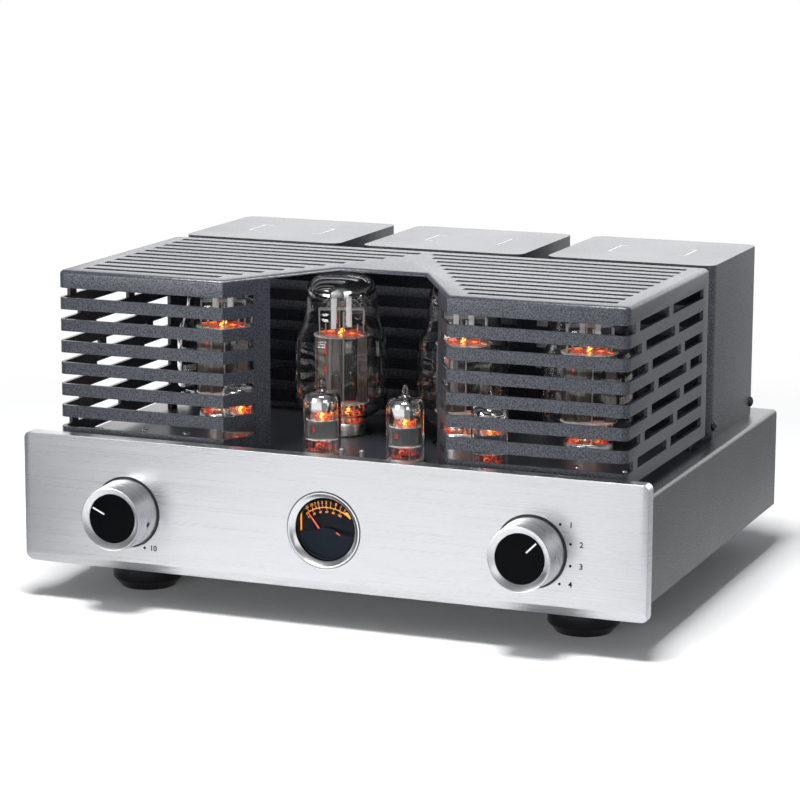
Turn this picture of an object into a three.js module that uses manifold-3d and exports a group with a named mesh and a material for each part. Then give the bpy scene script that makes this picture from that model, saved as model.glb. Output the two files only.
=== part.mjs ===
import * as THREE from 'three';
import { mergeVertices } from 'three/addons/utils/BufferGeometryUtils.js';
import Module from 'manifold-3d';

const wasm = await Module();
wasm.setup();

// A valve integrated amplifier. Lengths are in millimetres. x runs left to right as seen from the
// front, y from the face of the front panel to the rear, and z up from the surface it stands on.

// Shared fits: gap is left between neighbours that move or slide in, overrun is how far a cut
// reaches past the face it opens.
const gap = 0.3;
const overrun = 2;
const degree = Math.PI / 180;
const rightAngle = Math.PI / 2;

const facets = { knob: 24, meter: 24, glass: 14, signal: 10, foot: 18, round: 10, pin: 8, small: 6, corner: 2 };

const panel = {
  width: 378,
  drop: 5.4,
  height: 77.2,
  thickness: 9,
  cornerRadius: 4,
  sideBevelWidth: 3.1,
  sideBevelDepth: 0.6,
  lowerBevelHeight: 5.65,
  lowerBevelDepth: 3.4,
};

const chassis = {
  sideInset: 5.4,
  bottom: 27,
  height: 60.4,
  sheet: 1.6,
  edgeRadius: 2.5,
};

const bottomCover = {
  sheet: 1.2,
  ventLength: 60,
  ventWidth: 4,
  ventPitch: 10,
  ventSpacing: 150,
  ventCount: 7,
};

const foot = {
  sideInset: 47.3,
  frontInset: 45,
  rearInset: 42,
  groundRadius: 16.3,
  topRadius: 20.7,
  groundChamfer: 1,
  shoulderHeight: 5.5,
};

// Three covers over the output and mains transformers.
const cover = {
  sideInset: 12.2,
  sideGap: 15.1,
  frontGap: 10.1,
  depth: 98.3,
  height: 104.4,
  rearMargin: 11.6,
  sheet: 1.5,
  cornerRadius: 7,
  edgeRadius: 6,
  screwRadius: 3.1,
  screwHeight: 1.6,
  screwInset: 7.5,
  screwRise: 7.6,
};

const transformer = {
  sideGap: 10.1,
  endGap: 16.15,
  topGap: 27.4,
  limb: 16,
  yoke: 13,
  coreDepth: 36,
  coilRadius: 6,
  wireHole: 6,
  footHeight: 3,
  footOverhang: 12,
};

// Slotted cage over the valves, with a notch at the front between two short slanted returns.
const cage = {
  sideInset: 11.3,
  frontInset: 4.7,
  frontRoom: 44.8,
  rearRoom: 52.2,
  headroom: 8.25,
  lift: 5.6,
  sheet: 2,
  cornerRadius: 4,
  edgeRadius: 2.5,
  notchMouth: 135.4,
  notchBack: 53.8,
  notchDepth: 73,
  returnShare: 0.4,
  returnSlotShare: 0.275,
};

const slot = {
  firstBand: 10.15,
  height: 5.7,
  pitch: 12.62,
  lastBand: 5,
  wrapLength: 11.5,
  stagger: 12.3,
  dashLength: 55,
  bridge: 7.9,
  rearMargin: 13.6,
  rearWallBridge: 12,
  rearWallDash: 108,
};

const topSlot = {
  width: 5.7,
  pitch: 13.04,
  frontMargin: 13.5,
  rearMargin: 10,
  sideMargin: 10.8,
  notchBorder: 14.8,
  centreWeb: 8,
};

const cagePin = {
  radius: 3.1,
  inset: 6.4,
  tabLength: 12,
  frontSetback: 24,
  rearSetback: 21,
};

// The two round controls.
const control = {
  sideInset: 66.2,
  rise: 35,
};

const knob = {
  reach: 21,
  frontRadius: 18.4,
  rearRadius: 19.8,
  rimChamfer: 0.5,
  dishRadius: 14.4,
  dishDepth: 2.3,
  recessMargin: 0.9,
  recessDepth: 1.2,
  boreDepth: 14,
  setScrewRadius: 1.7,
  setScrewSetback: 11,
};

const inlay = {
  thickness: 1.2,
  pointerWidth: 0.9,
  pointerLength: 8,
  pointerInset: 1.1,
  pointerRelief: 0.15,
};

const pointerTurn = { volume: -65, selector: 45 };
const setScrewTurn = 166;

const spindle = {
  radius: 3,
  knobFit: 0.2,
  bushWall: 1.5,
  bushFit: 0.5,
  bodyRadius: 12.5,
  bodyDepth: 21,
};

const meter = {
  rise: 35.4,
  bezelRadius: 21.9,
  bezelProud: 0.5,
  rimWidth: 0.7,
  windowRadius: 18.25,
  coneDepth: 2.3,
  lip: 0.7,
  glass: 1.2,
  caseWall: 1.4,
  wall: 2.2,
  caseDepth: 32,
  maskDrop: 0.4,
  mask: 0.7,
  dial: 0.8,
};

const needle = {
  pivotDrop: 9,
  pivotOffset: 1.5,
  length: 21.4,
  tail: 4,
  width: 0.7,
  thickness: 0.6,
  hubRadius: 2.1,
  pinRadius: 0.8,
  restTurn: -38,
};

// Power valve: heights are counted from the deck that it stands on.
const powerTube = {
  sideRoom: 56.11,
  rowSpacing: 60,
  height: 96.6,
  bulbRadius: 27.8,
  domeRadius: 20,
  neckRadius: 13.4,
  glass: 1.2,
  baseRadius: 14.6,
  baseHeight: 8,
  baseWall: 0.9,
  baseFloor: 2,
  spigotRadius: 4,
  spigotLength: 9,
  anodeWidth: 31,
  anodeFaceWidth: 22.4,
  anodeDepth: 19,
  anodeBottom: 20,
  anodeHeight: 39.4,
  micaRadius: 16.8,
  mica: 0.8,
  stemRadius: 7.5,
  stemTopRadius: 5.2,
  postRadius: 0.6,
  postSpacing: 18.6,
  postRise: 15,
  finDepth: 4,
  finThickness: 1,
};

// Outline of the bulb from neck to shoulder, as [share of the bulb radius, share of the height].
const bulbShares = [
  [0.52, 0.092],
  [0.89, 0.165],
  [0.985, 0.235],
  [1, 0.34],
  [0.965, 0.585],
  [0.88, 0.66],
  [0.78, 0.75],
  [0.745, 0.83],
];

// Outline of the dome from its edge to the crown, as [share of the dome radius, share of the dome
// radius below the crown].
const domeShares = [
  [1, 0.36],
  [0.82, 0.11],
  [0, 0],
];

const signalTube = {
  pitch: 51.54,
  height: 45,
  radius: 10.9,
  glass: 0.9,
  shoulderHeight: 33.5,
  shoulderRise: 4.4,
  tipRadius: 1.7,
  tipBase: 3.2,
  baseHeight: 1.4,
  baseRadius: 9.2,
  stemRadius: 4.3,
  anodeWidth: 17.6,
  anodeDepth: 8,
  anodeRadius: 2,
  anodeBottom: 8.4,
  anodeHeight: 11.6,
  micaRadius: 9.2,
  mica: 0.6,
};

// Shoulder of the small bulb, as [share of its radius, share of the rise of the shoulder].
const shoulderShares = [
  [0.9, 0.55],
  [0.62, 0.9],
];

const tubeBoard = {
  sideMargin: 33.81,
  frontMargin: 16.5,
  rearMargin: 35.5,
  drop: 18.2,
  thickness: 1.6,
  octalRadius: 17,
  novalRadius: 11.2,
  socketFit: 0.7,
  pillarRadius: 3,
  pillarInset: 8,
};

const supplyBoard = {
  width: 220,
  depth: 96,
  rearMargin: 20,
  rise: 6,
  thickness: 1.6,
  capacitorRadius: 15,
  capacitorHeight: 40,
  capacitorPitch: 46,
  standoffRadius: 3,
  standoffInset: 8,
};

// Small bright fittings on the deck, seen between and beside the valves.
const deckPost = { spacing: 12.4, frontInset: 32, radius: 1.3, height: 8.3 };
const deckScrew = { outerInset: 32.6, innerInset: 60.6, frontInset: 71, radius: 2.4, height: 1.2 };

// Rear and side fittings. Those at the rear keep their distance from the chassis's sides.
const terminal = {
  pitch: 21,
  count: 6,
  plateMargin: 13.5,
  plateHeight: 28,
  plate: 2.5,
  innerDepth: 12,
  innerMargin: 6,
  collarRadius: 5.5,
  collarLength: 3,
  postRadius: 3,
  postLength: 21,
  nutRadius: 6.8,
  nutLength: 14,
  nutFit: 0.45,
  nutChamfer: 1,
};

const phono = {
  sideInset: 78.6,
  columns: 3,
  rows: 2,
  pitchX: 21,
  pitchZ: 19,
  plateMargin: 9,
  plate: 2,
  innerDepth: 12,
  innerMargin: 4,
  collarRadius: 5.2,
  collarLength: 2,
  barrelRadius: 4.1,
  barrelLength: 9,
  boreRadius: 1.7,
  boreDepth: 8,
};

const inlet = {
  sideInset: 41.6,
  flangeWidth: 32,
  flangeHeight: 42,
  flange: 2,
  bodyWidth: 27.5,
  bodyHeight: 36,
  bodyDepth: 30,
  cavityWidth: 24,
  cavityHeight: 15.5,
  cavityDepth: 18,
  cavityRise: 6,
  bladeWidth: 2,
  bladeHeight: 4,
  bladeLength: 9,
  bladePitch: 7,
  bladeDrop: 4,
};

const fuse = {
  width: 22,
  height: 8,
  depth: 22,
  drop: 9.5,
  lip: 1,
  lipMargin: 1,
};

const antenna = {
  sideInset: 25.6,
  rise: 8.8,
  jackFlats: 6.4,
  jackNut: 2.6,
  jackRadius: 3.1,
  jackLength: 8,
  jackTail: 8,
  knuckleRadius: 5,
  knuckleFit: 0.4,
  knuckleWall: 2.4,
  forkDepth: 11,
  forkSlot: 5,
  pinRadius: 1.3,
  pinInset: 0.5,
  rodRadius: 4,
  rodTipRadius: 2.8,
  rodLength: 98,
  tongue: 4.4,
};

const rocker = {
  frontInset: 49,
  frameLength: 34,
  frameHeight: 21,
  frame: 1.6,
  bodyLength: 28,
  bodyHeight: 15,
  bodyDepth: 16,
  wall: 1.6,
  thickness: 7,
  proud: 3.2,
  tilt: 8,
  pinRadius: 1.2,
};

// Places worked out from the sizes above, first upwards, then across, then from front to rear.
const panelBottom = chassis.bottom - panel.drop;
const panelTop = panelBottom + panel.height;
const controlHeight = panelBottom + control.rise;
const meterHeight = panelBottom + meter.rise;
const deckTop = chassis.bottom + chassis.height;
const deckUnder = deckTop - chassis.sheet;
const cageBottom = deckTop + cage.lift;
const cageTop = deckTop + powerTube.height + cage.headroom;

const chassisWidth = panel.width - 2 * chassis.sideInset;
const chassisSide = chassisWidth / 2;
const coverPitch = (chassisWidth - 2 * cover.sideInset + cover.sideGap) / 3;
const coverWidth = coverPitch - cover.sideGap;
const cageHalf = chassisSide - cage.sideInset;
const powerPitch = 2 * (cageHalf - powerTube.sideRoom) / 3;
const phonoWidth = (phono.columns - 1) * phono.pitchX + 2 * phono.plateMargin;
const phonoHeight = (phono.rows - 1) * phono.pitchZ + 2 * phono.plateMargin;
const terminalWidth = (terminal.count - 1) * terminal.pitch + 2 * terminal.plateMargin;
const phonoMiddle = phono.sideInset - chassisSide;
const inletMiddle = chassisSide - inlet.sideInset;
const terminalMiddle = (phonoMiddle + phonoWidth / 2 + inletMiddle - inlet.flangeWidth / 2) / 2;

const chassisFront = panel.thickness;
const rockerMiddle = chassisFront + rocker.frontInset;
const cageFront = chassisFront + cage.frontInset;
const signalRow = cageFront + cage.frontRoom;
const powerRow = signalRow + powerTube.rowSpacing;
const cageRear = powerRow + cage.rearRoom;
const coverFront = cageRear + cover.frontGap;
const coverMiddle = coverFront + cover.depth / 2;
const chassisRear = coverFront + cover.depth + cover.rearMargin;
const rearFace = chassisRear;
const rearMiddle = chassis.bottom + chassis.height / 2;
const rearReach = rearFace + terminal.plate + terminal.postLength;
const jackEnd = rearFace + antenna.jackNut + antenna.jackLength;
const forkStart = jackEnd + antenna.knuckleWall;
const knuckleEnd = forkStart + antenna.forkDepth;
const recessRadius = knob.rearRadius + knob.recessMargin;
const controlOut = panel.width / 2 - control.sideInset;
const controlX = { volume: -controlOut, selector: controlOut };

const paint = (color, roughness, metalness) => new THREE.MeshStandardMaterial({ color, roughness, metalness });
const finish = {
  brushed: paint(0xd2d4d6, 0.35, 0.9),
  satin: paint(0xc9cbce, 0.3, 0.95),
  charcoal: paint(0x4b4c50, 0.6, 0.4),
  black: paint(0x0e0f11, 0.25, 0.1),
  rubber: paint(0x161617, 0.8, 0),
  glass: paint(0xdfe4e6, 0.05, 0),
  chrome: paint(0xd8d8d8, 0.1, 1),
  steel: paint(0x8f9092, 0.4, 0.9),
  electrode: paint(0x77706a, 0.55, 0.5),
  copper: paint(0xa86a3c, 0.5, 0.5),
  board: paint(0x1f5a35, 0.6, 0),
  dial: paint(0x101114, 0.5, 0),
  orange: paint(0xd9542b, 0.5, 0),
  red: paint(0xa3201c, 0.4, 0),
};

// Closed solid from a three.js geometry, whichever way its faces run.
function toSolid(geometry) {
  const bare = geometry.index ? geometry.toNonIndexed() : geometry.clone();
  bare.deleteAttribute('normal');
  bare.deleteAttribute('uv');
  const merged = mergeVertices(bare);
  const points = merged.attributes.position.array;
  const corner = (i) => new THREE.Vector3().fromArray(points, i * 3);
  const triangles = [];
  let volume = 0;
  for (let i = 0; i < merged.index.count; i += 3) {
    const [a, b, c] = [0, 1, 2].map((k) => merged.index.getX(i + k));
    if (a === b || b === c || c === a) {
      continue;
    }
    triangles.push([a, b, c]);
    volume += corner(a).dot(corner(b).cross(corner(c)));
  }
  const ordered = triangles.map(([a, b, c]) => (volume < 0 ? [a, c, b] : [a, b, c]));
  return new wasm.Manifold(new wasm.Mesh({
    numProp: 3,
    vertProperties: Float32Array.from(points),
    triVerts: Uint32Array.from(ordered.flat()),
  }));
}

function toGeometry(solid) {
  const mesh = solid.getMesh();
  const geometry = new THREE.BufferGeometry();
  geometry.setAttribute('position', new THREE.BufferAttribute(Float32Array.from(mesh.vertProperties), 3));
  geometry.setIndex([...mesh.triVerts]);
  geometry.computeVertexNormals();
  return geometry;
}

const join = (...solids) => solids.reduce((whole, next) => whole.add(next));
const cut = (solid, ...tools) => (tools.length ? solid.subtract(join(...tools)) : solid);
const range = (count) => Array.from({ length: count }, (_, i) => i);
const mirrored = (points) => points.map(([a, b]) => [-a, b]);

const X = new THREE.Vector3(1, 0, 0);
const Y = new THREE.Vector3(0, 1, 0);
const Z = new THREE.Vector3(0, 0, 1);

// Where the plane of an outline and its run point: an outline along x is drawn in (y, z), along y
// in (x, z) and along z in (x, y).
const prismBasis = { x: [Y, Z, X], y: [X, Z, Y], z: [X, Y, Z] };
const latheBasis = { x: [Y, X, Z], y: [X, Y, Z], z: [X, Z, Y] };

function placed(geometry, basis, at) {
  geometry.applyMatrix4(new THREE.Matrix4().makeBasis(...basis));
  geometry.translate(...at);
  return toSolid(geometry);
}

const origin = [0, 0, 0];

function prism(axis, outline, from, to, at = origin) {
  const shape = new THREE.Shape(outline.map(([a, b]) => new THREE.Vector2(a, b)));
  const geometry = new THREE.ExtrudeGeometry(shape, { depth: to - from, bevelEnabled: false });
  geometry.translate(0, 0, from);
  return placed(geometry, prismBasis[axis], at);
}

function turned(axis, profile, sides, at = origin) {
  const points = profile.map(([r, h]) => new THREE.Vector2(r, h));
  return placed(new THREE.LatheGeometry(points, sides), latheBasis[axis], at);
}

function rod(axis, radius, from, to, sides, at = origin) {
  return turned(axis, [[0, from], [radius, from], [radius, to], [0, to]], sides, at);
}

function block([x0, x1], [y0, y1], [z0, z1]) {
  const geometry = new THREE.BoxGeometry(x1 - x0, y1 - y0, z1 - z0);
  geometry.translate((x0 + x1) / 2, (y0 + y1) / 2, (z0 + z1) / 2);
  return toSolid(geometry);
}

const about = (middle, size) => [middle - size / 2, middle + size / 2];

// Rectangle with each corner rounded by its own radius, counter-clockwise from the lower left.
function roundedRectangle([x0, x1], [y0, y1], radii, steps = facets.corner) {
  const [lowerLeft, lowerRight, upperRight, upperLeft] = radii;
  const corners = [
    [x0 + lowerLeft, y0 + lowerLeft, lowerLeft, 2],
    [x1 - lowerRight, y0 + lowerRight, lowerRight, 3],
    [x1 - upperRight, y1 - upperRight, upperRight, 0],
    [x0 + upperLeft, y1 - upperLeft, upperLeft, 1],
  ];
  return corners.flatMap(([cx, cy, radius, quarter]) => {
    if (radius === 0) {
      return [[cx, cy]];
    }
    return range(steps + 1).map((i) => {
      const turn = (quarter + i / steps) * rightAngle;
      return [cx + radius * Math.cos(turn), cy + radius * Math.sin(turn)];
    });
  });
}

// Line moved sideways to its left by a distance, with mitred corners. A closed line joins its ends.
function offsetLine(points, distance, closed) {
  const count = points.length;
  return points.map(([x, y], i) => {
    const before = points[(i + count - 1) % count];
    const after = points[(i + 1) % count];
    const sides = [];
    if (closed || i > 0) {
      sides.push([x - before[0], y - before[1]]);
    }
    if (closed || i < count - 1) {
      sides.push([after[0] - x, after[1] - y]);
    }
    const normals = sides.map(([dx, dy]) => [-dy / Math.hypot(dx, dy), dx / Math.hypot(dx, dy)]);
    const sum = [0, 1].map((k) => normals.reduce((total, n) => total + n[k], 0));
    const size = Math.hypot(...sum);
    const middle = [sum[0] / size, sum[1] / size];
    const reach = distance / (middle[0] * normals[0][0] + middle[1] * normals[0][1]);
    return [x + middle[0] * reach, y + middle[1] * reach];
  });
}

// Upright shell form: straight walls, with the upper edge rounded.
function roundedTop(outline, from, to, radius) {
  const shape = new THREE.Shape(outline.map(([a, b]) => new THREE.Vector2(a, b)));
  const geometry = new THREE.ExtrudeGeometry(shape, {
    depth: to - from,
    bevelThickness: radius,
    bevelSize: radius,
    bevelOffset: -radius,
    bevelSegments: facets.corner,
  });
  geometry.translate(0, 0, from - radius);
  const spread = Math.max(...outline.flat().map(Math.abs)) + overrun;
  const wide = [-spread, spread];
  return cut(placed(geometry, prismBasis.z, origin), block(wide, wide, [from - 2 * radius - overrun, from]));
}

// The whole stands centred over the origin, from its knobs to its rearmost fitting.
const amplifier = new THREE.Group();
const rearmost = Math.max(rearReach, knuckleEnd);
amplifier.position.y = (knob.reach - rearmost) / 2;

function add(name, solid, material, at = origin) {
  const mesh = new THREE.Mesh(solid.isBufferGeometry ? solid : toGeometry(solid), material);
  mesh.name = name;
  mesh.position.set(...at);
  amplifier.add(mesh);
  return mesh;
}

// Front panel: a thick plate with a wide bevel along its lower edge and shallow ones at its ends.
function makePanel() {
  const half = panel.width / 2;
  const radii = Array(4).fill(panel.cornerRadius);
  const plate = prism('y', roundedRectangle([-half, half], [panelBottom, panelTop], radii), 0, panel.thickness);
  const lowerBevel = prism('x', [
    [0, panelBottom + panel.lowerBevelHeight],
    [panel.lowerBevelDepth, panelBottom],
    [-overrun, panelBottom - overrun],
  ], -half - overrun, half + overrun);
  const sideOutline = [
    [half - panel.sideBevelWidth, 0],
    [half, panel.sideBevelDepth],
    [half + overrun, -overrun],
  ];
  const sideBevels = [sideOutline, mirrored(sideOutline)].map((outline) => (
    prism('z', outline, panelBottom - overrun, panelTop + overrun)
  ));
  const holes = Object.values(controlX).flatMap((x) => {
    const at = [x, 0, controlHeight];
    return [
      rod('y', recessRadius, -overrun, knob.recessDepth, facets.knob, at),
      rod('y', bushRadius + gap, 0, panel.thickness + overrun, facets.round, at),
    ];
  });
  const window = rod('y', meter.bezelRadius + gap, -overrun, panel.thickness + overrun, facets.meter,
    [0, 0, meterHeight]);
  return cut(plate, lowerBevel, ...sideBevels, ...holes, window);
}

const bushBore = spindle.radius + spindle.bushFit;
const bushRadius = bushBore + spindle.bushWall;
const caseRadius = meter.windowRadius + meter.caseWall;
const caseSeat = caseRadius + gap;

const tubeShares = [-1.5, -0.5, 0.5, 1.5];
const powerX = tubeShares.map((share) => share * powerPitch);
const signalX = tubeShares.map((share) => share * signalTube.pitch);

add('front_panel', makePanel(), finish.brushed);

// Chassis: a folded box open below, with the deck as its top.
function makeChassis() {
  const half = chassisSide;
  const edge = chassis.edgeRadius;
  const outline = roundedRectangle([-half, half], [chassis.bottom, deckTop], [0, 0, edge, edge]);
  const outer = prism('y', outline, chassisFront, chassisRear);
  const inner = block(
    [chassis.sheet - half, half - chassis.sheet],
    [chassisFront + chassis.sheet, chassisRear - chassis.sheet],
    [chassis.bottom - overrun, deckUnder],
  );
  const throughDeck = (x, y, radius, sides) => (
    rod('z', radius + tubeBoard.socketFit, deckUnder - overrun, deckTop + overrun, sides, [x, y, 0])
  );
  const sockets = [
    ...powerX.map((x) => throughDeck(x, powerRow, tubeBoard.octalRadius, facets.glass)),
    ...signalX.map((x) => throughDeck(x, signalRow, tubeBoard.novalRadius, facets.signal)),
  ];
  const frontWall = [chassisFront - overrun, chassisFront + chassis.sheet + overrun];
  const bushHoles = Object.values(controlX).map((x) => (
    rod('y', bushRadius + gap, ...frontWall, facets.round, [x, 0, controlHeight])
  ));
  const meterHole = rod('y', caseSeat, ...frontWall, facets.meter, [0, 0, meterHeight]);
  const rearWall = [chassisRear - chassis.sheet - overrun, chassisRear + overrun];
  const rearHole = (centre, width, height, middle = rearMiddle) => (
    block(about(centre, width + 2 * gap), rearWall, about(middle, height + 2 * gap))
  );
  const rearHoles = [
    rearHole(terminalMiddle, terminalWidth - 2 * terminal.innerMargin, terminal.plateHeight / 2),
    rearHole(phonoMiddle, phonoWidth - 2 * phono.innerMargin, phonoHeight - 2 * phono.innerMargin),
    rearHole(inletMiddle, inlet.bodyWidth, inlet.bodyHeight),
    rod('y', antenna.jackRadius + gap, ...rearWall, facets.round, [antenna.sideInset - half, 0, rearMiddle + antenna.rise]),
  ];
  const switchHole = block(
    [-half - overrun, chassis.sheet - half + overrun],
    about(rockerMiddle, rocker.bodyLength + 2 * gap),
    about(rearMiddle, rocker.bodyHeight + 2 * gap),
  );
  const wireHoles = [-1, 0, 1].map((share) => (
    rod('z', transformer.wireHole, deckUnder - overrun, deckTop + overrun, facets.round,
      [share * coverPitch, coverMiddle, 0])
  ));
  const shell = cut(outer, inner, ...sockets, ...bushHoles, meterHole, ...rearHoles, switchHole, ...wireHoles);
  const screwRow = chassisFront + deckScrew.frontInset;
  const screws = [deckScrew.innerInset, deckScrew.outerInset].flatMap((inset) => (
    [inset - half, half - inset].map((x) => dome('z', deckScrew.radius, deckScrew.height, [x, screwRow, deckTop]))
  ));
  const posts = [-deckPost.spacing / 2, deckPost.spacing / 2].map((x) => turned('z', [
    [0, -chassis.sheet / 2],
    [deckPost.radius, -chassis.sheet / 2],
    [deckPost.radius, deckPost.height - deckPost.radius / 2],
    [deckPost.radius / 2, deckPost.height],
    [0, deckPost.height],
  ], facets.small, [x, chassisFront + deckPost.frontInset, deckTop]));
  return join(shell, ...screws, ...posts);
}

// Low screw head standing on a face, with its foot sunk a sheet deep into the metal.
function dome(axis, radius, height, at, side = 1) {
  const profile = [
    [0, -chassis.sheet / 2],
    [radius, -chassis.sheet / 2],
    [radius, height / 3],
    [radius / 2, height],
    [0, height],
  ];
  return turned(axis, profile.map(([r, h]) => [r, side * h]), facets.small, at);
}

add('chassis', makeChassis(), finish.charcoal);

function makeBottomCover() {
  const margin = chassis.sheet + gap;
  const plate = block(
    [margin - chassisSide, chassisSide - margin],
    [chassisFront + margin, chassisRear - margin],
    [chassis.bottom, chassis.bottom + bottomCover.sheet],
  );
  const middle = (chassisFront + chassisRear) / 2;
  const vents = [-1 / 2, 1 / 2].flatMap((share) => range(bottomCover.ventCount).map((i) => {
    const y = middle + (i - (bottomCover.ventCount - 1) / 2) * bottomCover.ventPitch;
    return block(
      about(share * bottomCover.ventSpacing, bottomCover.ventLength),
      about(y, bottomCover.ventWidth),
      [chassis.bottom - overrun, chassis.bottom + bottomCover.sheet + overrun],
    );
  }));
  return cut(plate, ...vents);
}

add('bottom_cover', makeBottomCover(), finish.charcoal);

const footGeometry = toGeometry(turned('z', [
  [0, 0],
  [foot.groundRadius - foot.groundChamfer, 0],
  [foot.groundRadius, foot.groundChamfer],
  [foot.topRadius, foot.shoulderHeight],
  [foot.topRadius, chassis.bottom],
  [0, chassis.bottom],
], facets.foot));
const footOut = chassisSide - foot.sideInset;
const footRows = { front: chassisFront + foot.frontInset, rear: chassisRear - foot.rearInset };
for (const [row, y] of Object.entries(footRows)) {
  add(`foot_${row}_left`, footGeometry, finish.rubber, [-footOut, y, 0]);
  add(`foot_${row}_right`, footGeometry, finish.rubber, [footOut, y, 0]);
}

// Transformer cover: a deep-drawn can, open below, with two screws in each side.
function makeCover() {
  const half = [coverWidth / 2, cover.depth / 2];
  const radii = Array(4).fill(cover.cornerRadius);
  const outline = roundedRectangle([-half[0], half[0]], [-half[1], half[1]], radii);
  const outer = roundedTop(outline, 0, cover.height, cover.edgeRadius);
  const within = offsetLine(outline, cover.sheet, true);
  const inner = roundedTop(within, -overrun, cover.height - cover.sheet, cover.edgeRadius - cover.sheet);
  const shell = cut(outer, inner);
  const screws = [-1, 1].flatMap((side) => [-1, 1].map((end) => (
    dome('x', cover.screwRadius, cover.screwHeight,
      [side * half[0], end * (half[1] - cover.screwInset), cover.screwRise], side)
  )));
  return join(shell, ...screws);
}

// Transformer: a laminated core on a mounting foot, with its coil through the window.
function makeTransformer() {
  const foot = transformer.footHeight;
  const top = cover.height - transformer.topGap;
  const coreWidth = coverWidth - 2 * transformer.sideGap;
  const coilWidth = coreWidth - 2 * transformer.limb;
  const coilDepth = cover.depth - 2 * transformer.endGap;
  const coilHeights = [foot + transformer.yoke, top - transformer.yoke];
  const coil = roundedRectangle(about(0, coilWidth), coilHeights, Array(4).fill(transformer.coilRadius));
  return join(
    block(about(0, coreWidth), about(0, transformer.coreDepth + 2 * transformer.footOverhang), [0, foot]),
    block(about(0, coreWidth), about(0, transformer.coreDepth), [0, top]),
    prism('y', coil, -coilDepth / 2, coilDepth / 2),
  );
}

const coverGeometry = toGeometry(makeCover());
const transformerGeometry = toGeometry(makeTransformer());
['left', 'centre', 'right'].forEach((place, i) => {
  const at = [(i - 1) * coverPitch, coverMiddle, deckTop];
  add(`transformer_cover_${place}`, coverGeometry, finish.charcoal, at);
  add(`transformer_${place}`, transformerGeometry, finish.steel, at);
});

// Valve cage. Half of its plan, from the notch outwards, is drawn for x > 0.
const notchCorner = [cage.notchMouth / 2, cageFront];
const notchInner = [cage.notchBack / 2, cageFront + cage.notchDepth];
const alongReturn = (share) => [0, 1].map((k) => notchCorner[k] + share * (notchInner[k] - notchCorner[k]));

function cagePlan() {
  const round = roundedRectangle([-cageHalf, cageHalf], [cageFront, cageRear], Array(4).fill(cage.cornerRadius));
  const perCorner = facets.corner + 1;
  const lowerLeft = round.slice(0, perCorner);
  const rest = round.slice(perCorner);
  const notch = [
    [-notchCorner[0], notchCorner[1]],
    [-notchInner[0], notchInner[1]],
    notchInner,
    notchCorner,
  ];
  return [...lowerLeft, ...notch, ...rest];
}

// Slot of one level that wraps from the slanted return round the outer corner onto the side.
function wrapSlot(level, side, heights) {
  const end = cageFront + slot.wrapLength + slotSteps(level) * slot.stagger;
  const line = [
    alongReturn(cage.returnSlotShare),
    notchCorner,
    [cageHalf, cageFront],
    [cageHalf, end],
  ];
  const outside = offsetLine(line, -cage.sheet, false);
  const inside = offsetLine(line, cage.cornerRadius, false);
  const outline = [...outside, ...inside.reverse()].map(([x, y]) => [side * x, y]);
  return prism('z', outline, ...heights);
}

const slotRoom = cageTop - cageBottom - slot.firstBand - slot.height - slot.lastBand;
const slotCount = 1 + Math.floor(slotRoom / slot.pitch);
const slotSteps = (level) => Math.min(level, slotCount - 1 - level);

function cageSlots() {
  const tools = [];
  for (const level of range(slotCount)) {
    const top = cageTop - slot.firstBand - level * slot.pitch;
    const heights = [top - slot.height, top];
    const steps = slotSteps(level);
    const dashStart = cageFront + slot.wrapLength + steps * slot.stagger + slot.bridge;
    const lastStart = dashStart + slot.dashLength + slot.bridge;
    const dashes = [[dashStart, dashStart + slot.dashLength], [lastStart, cageRear - slot.rearMargin]];
    const runs = dashes.filter(([from, to]) => to - from > slot.height);
    for (const side of [-1, 1]) {
      tools.push(wrapSlot(level, side, heights));
      const wall = [side * (cageHalf - 2 * cage.sheet), side * (cageHalf + overrun)].sort((a, b) => a - b);
      runs.forEach((run) => tools.push(block(wall, run, heights)));
      const rearStart = slot.rearWallDash / 2 + slot.rearWallBridge;
      const rearRun = [side * rearStart, side * (cageHalf - slot.rearMargin)].sort((a, b) => a - b);
      tools.push(block(rearRun, [cageRear - 2 * cage.sheet, cageRear + overrun], heights));
    }
    tools.push(block(about(0, slot.rearWallDash), [cageRear - 2 * cage.sheet, cageRear + overrun], heights));
  }
  return tools;
}

// Slots in the top run across it and stop short of the notch and of a web in the middle.
function cageTopSlots() {
  const slope = (notchCorner[0] - notchInner[0]) / cage.notchDepth;
  const first = cageFront + topSlot.frontMargin;
  const count = 1 + Math.floor((cageRear - topSlot.rearMargin - first) / topSlot.pitch);
  return range(count).flatMap((i) => {
    const y = first + i * topSlot.pitch;
    const besideNotch = notchInner[0] + topSlot.notchBorder + slope * (notchInner[1] - y);
    const from = Math.max(topSlot.centreWeb / 2, besideNotch);
    const to = cageHalf - topSlot.sideMargin;
    return [[from, to], [-to, -from]].map((run) => (
      block(run, about(y, topSlot.width), [cageTop - 2 * cage.sheet, cageTop + overrun])
    ));
  });
}

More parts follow.
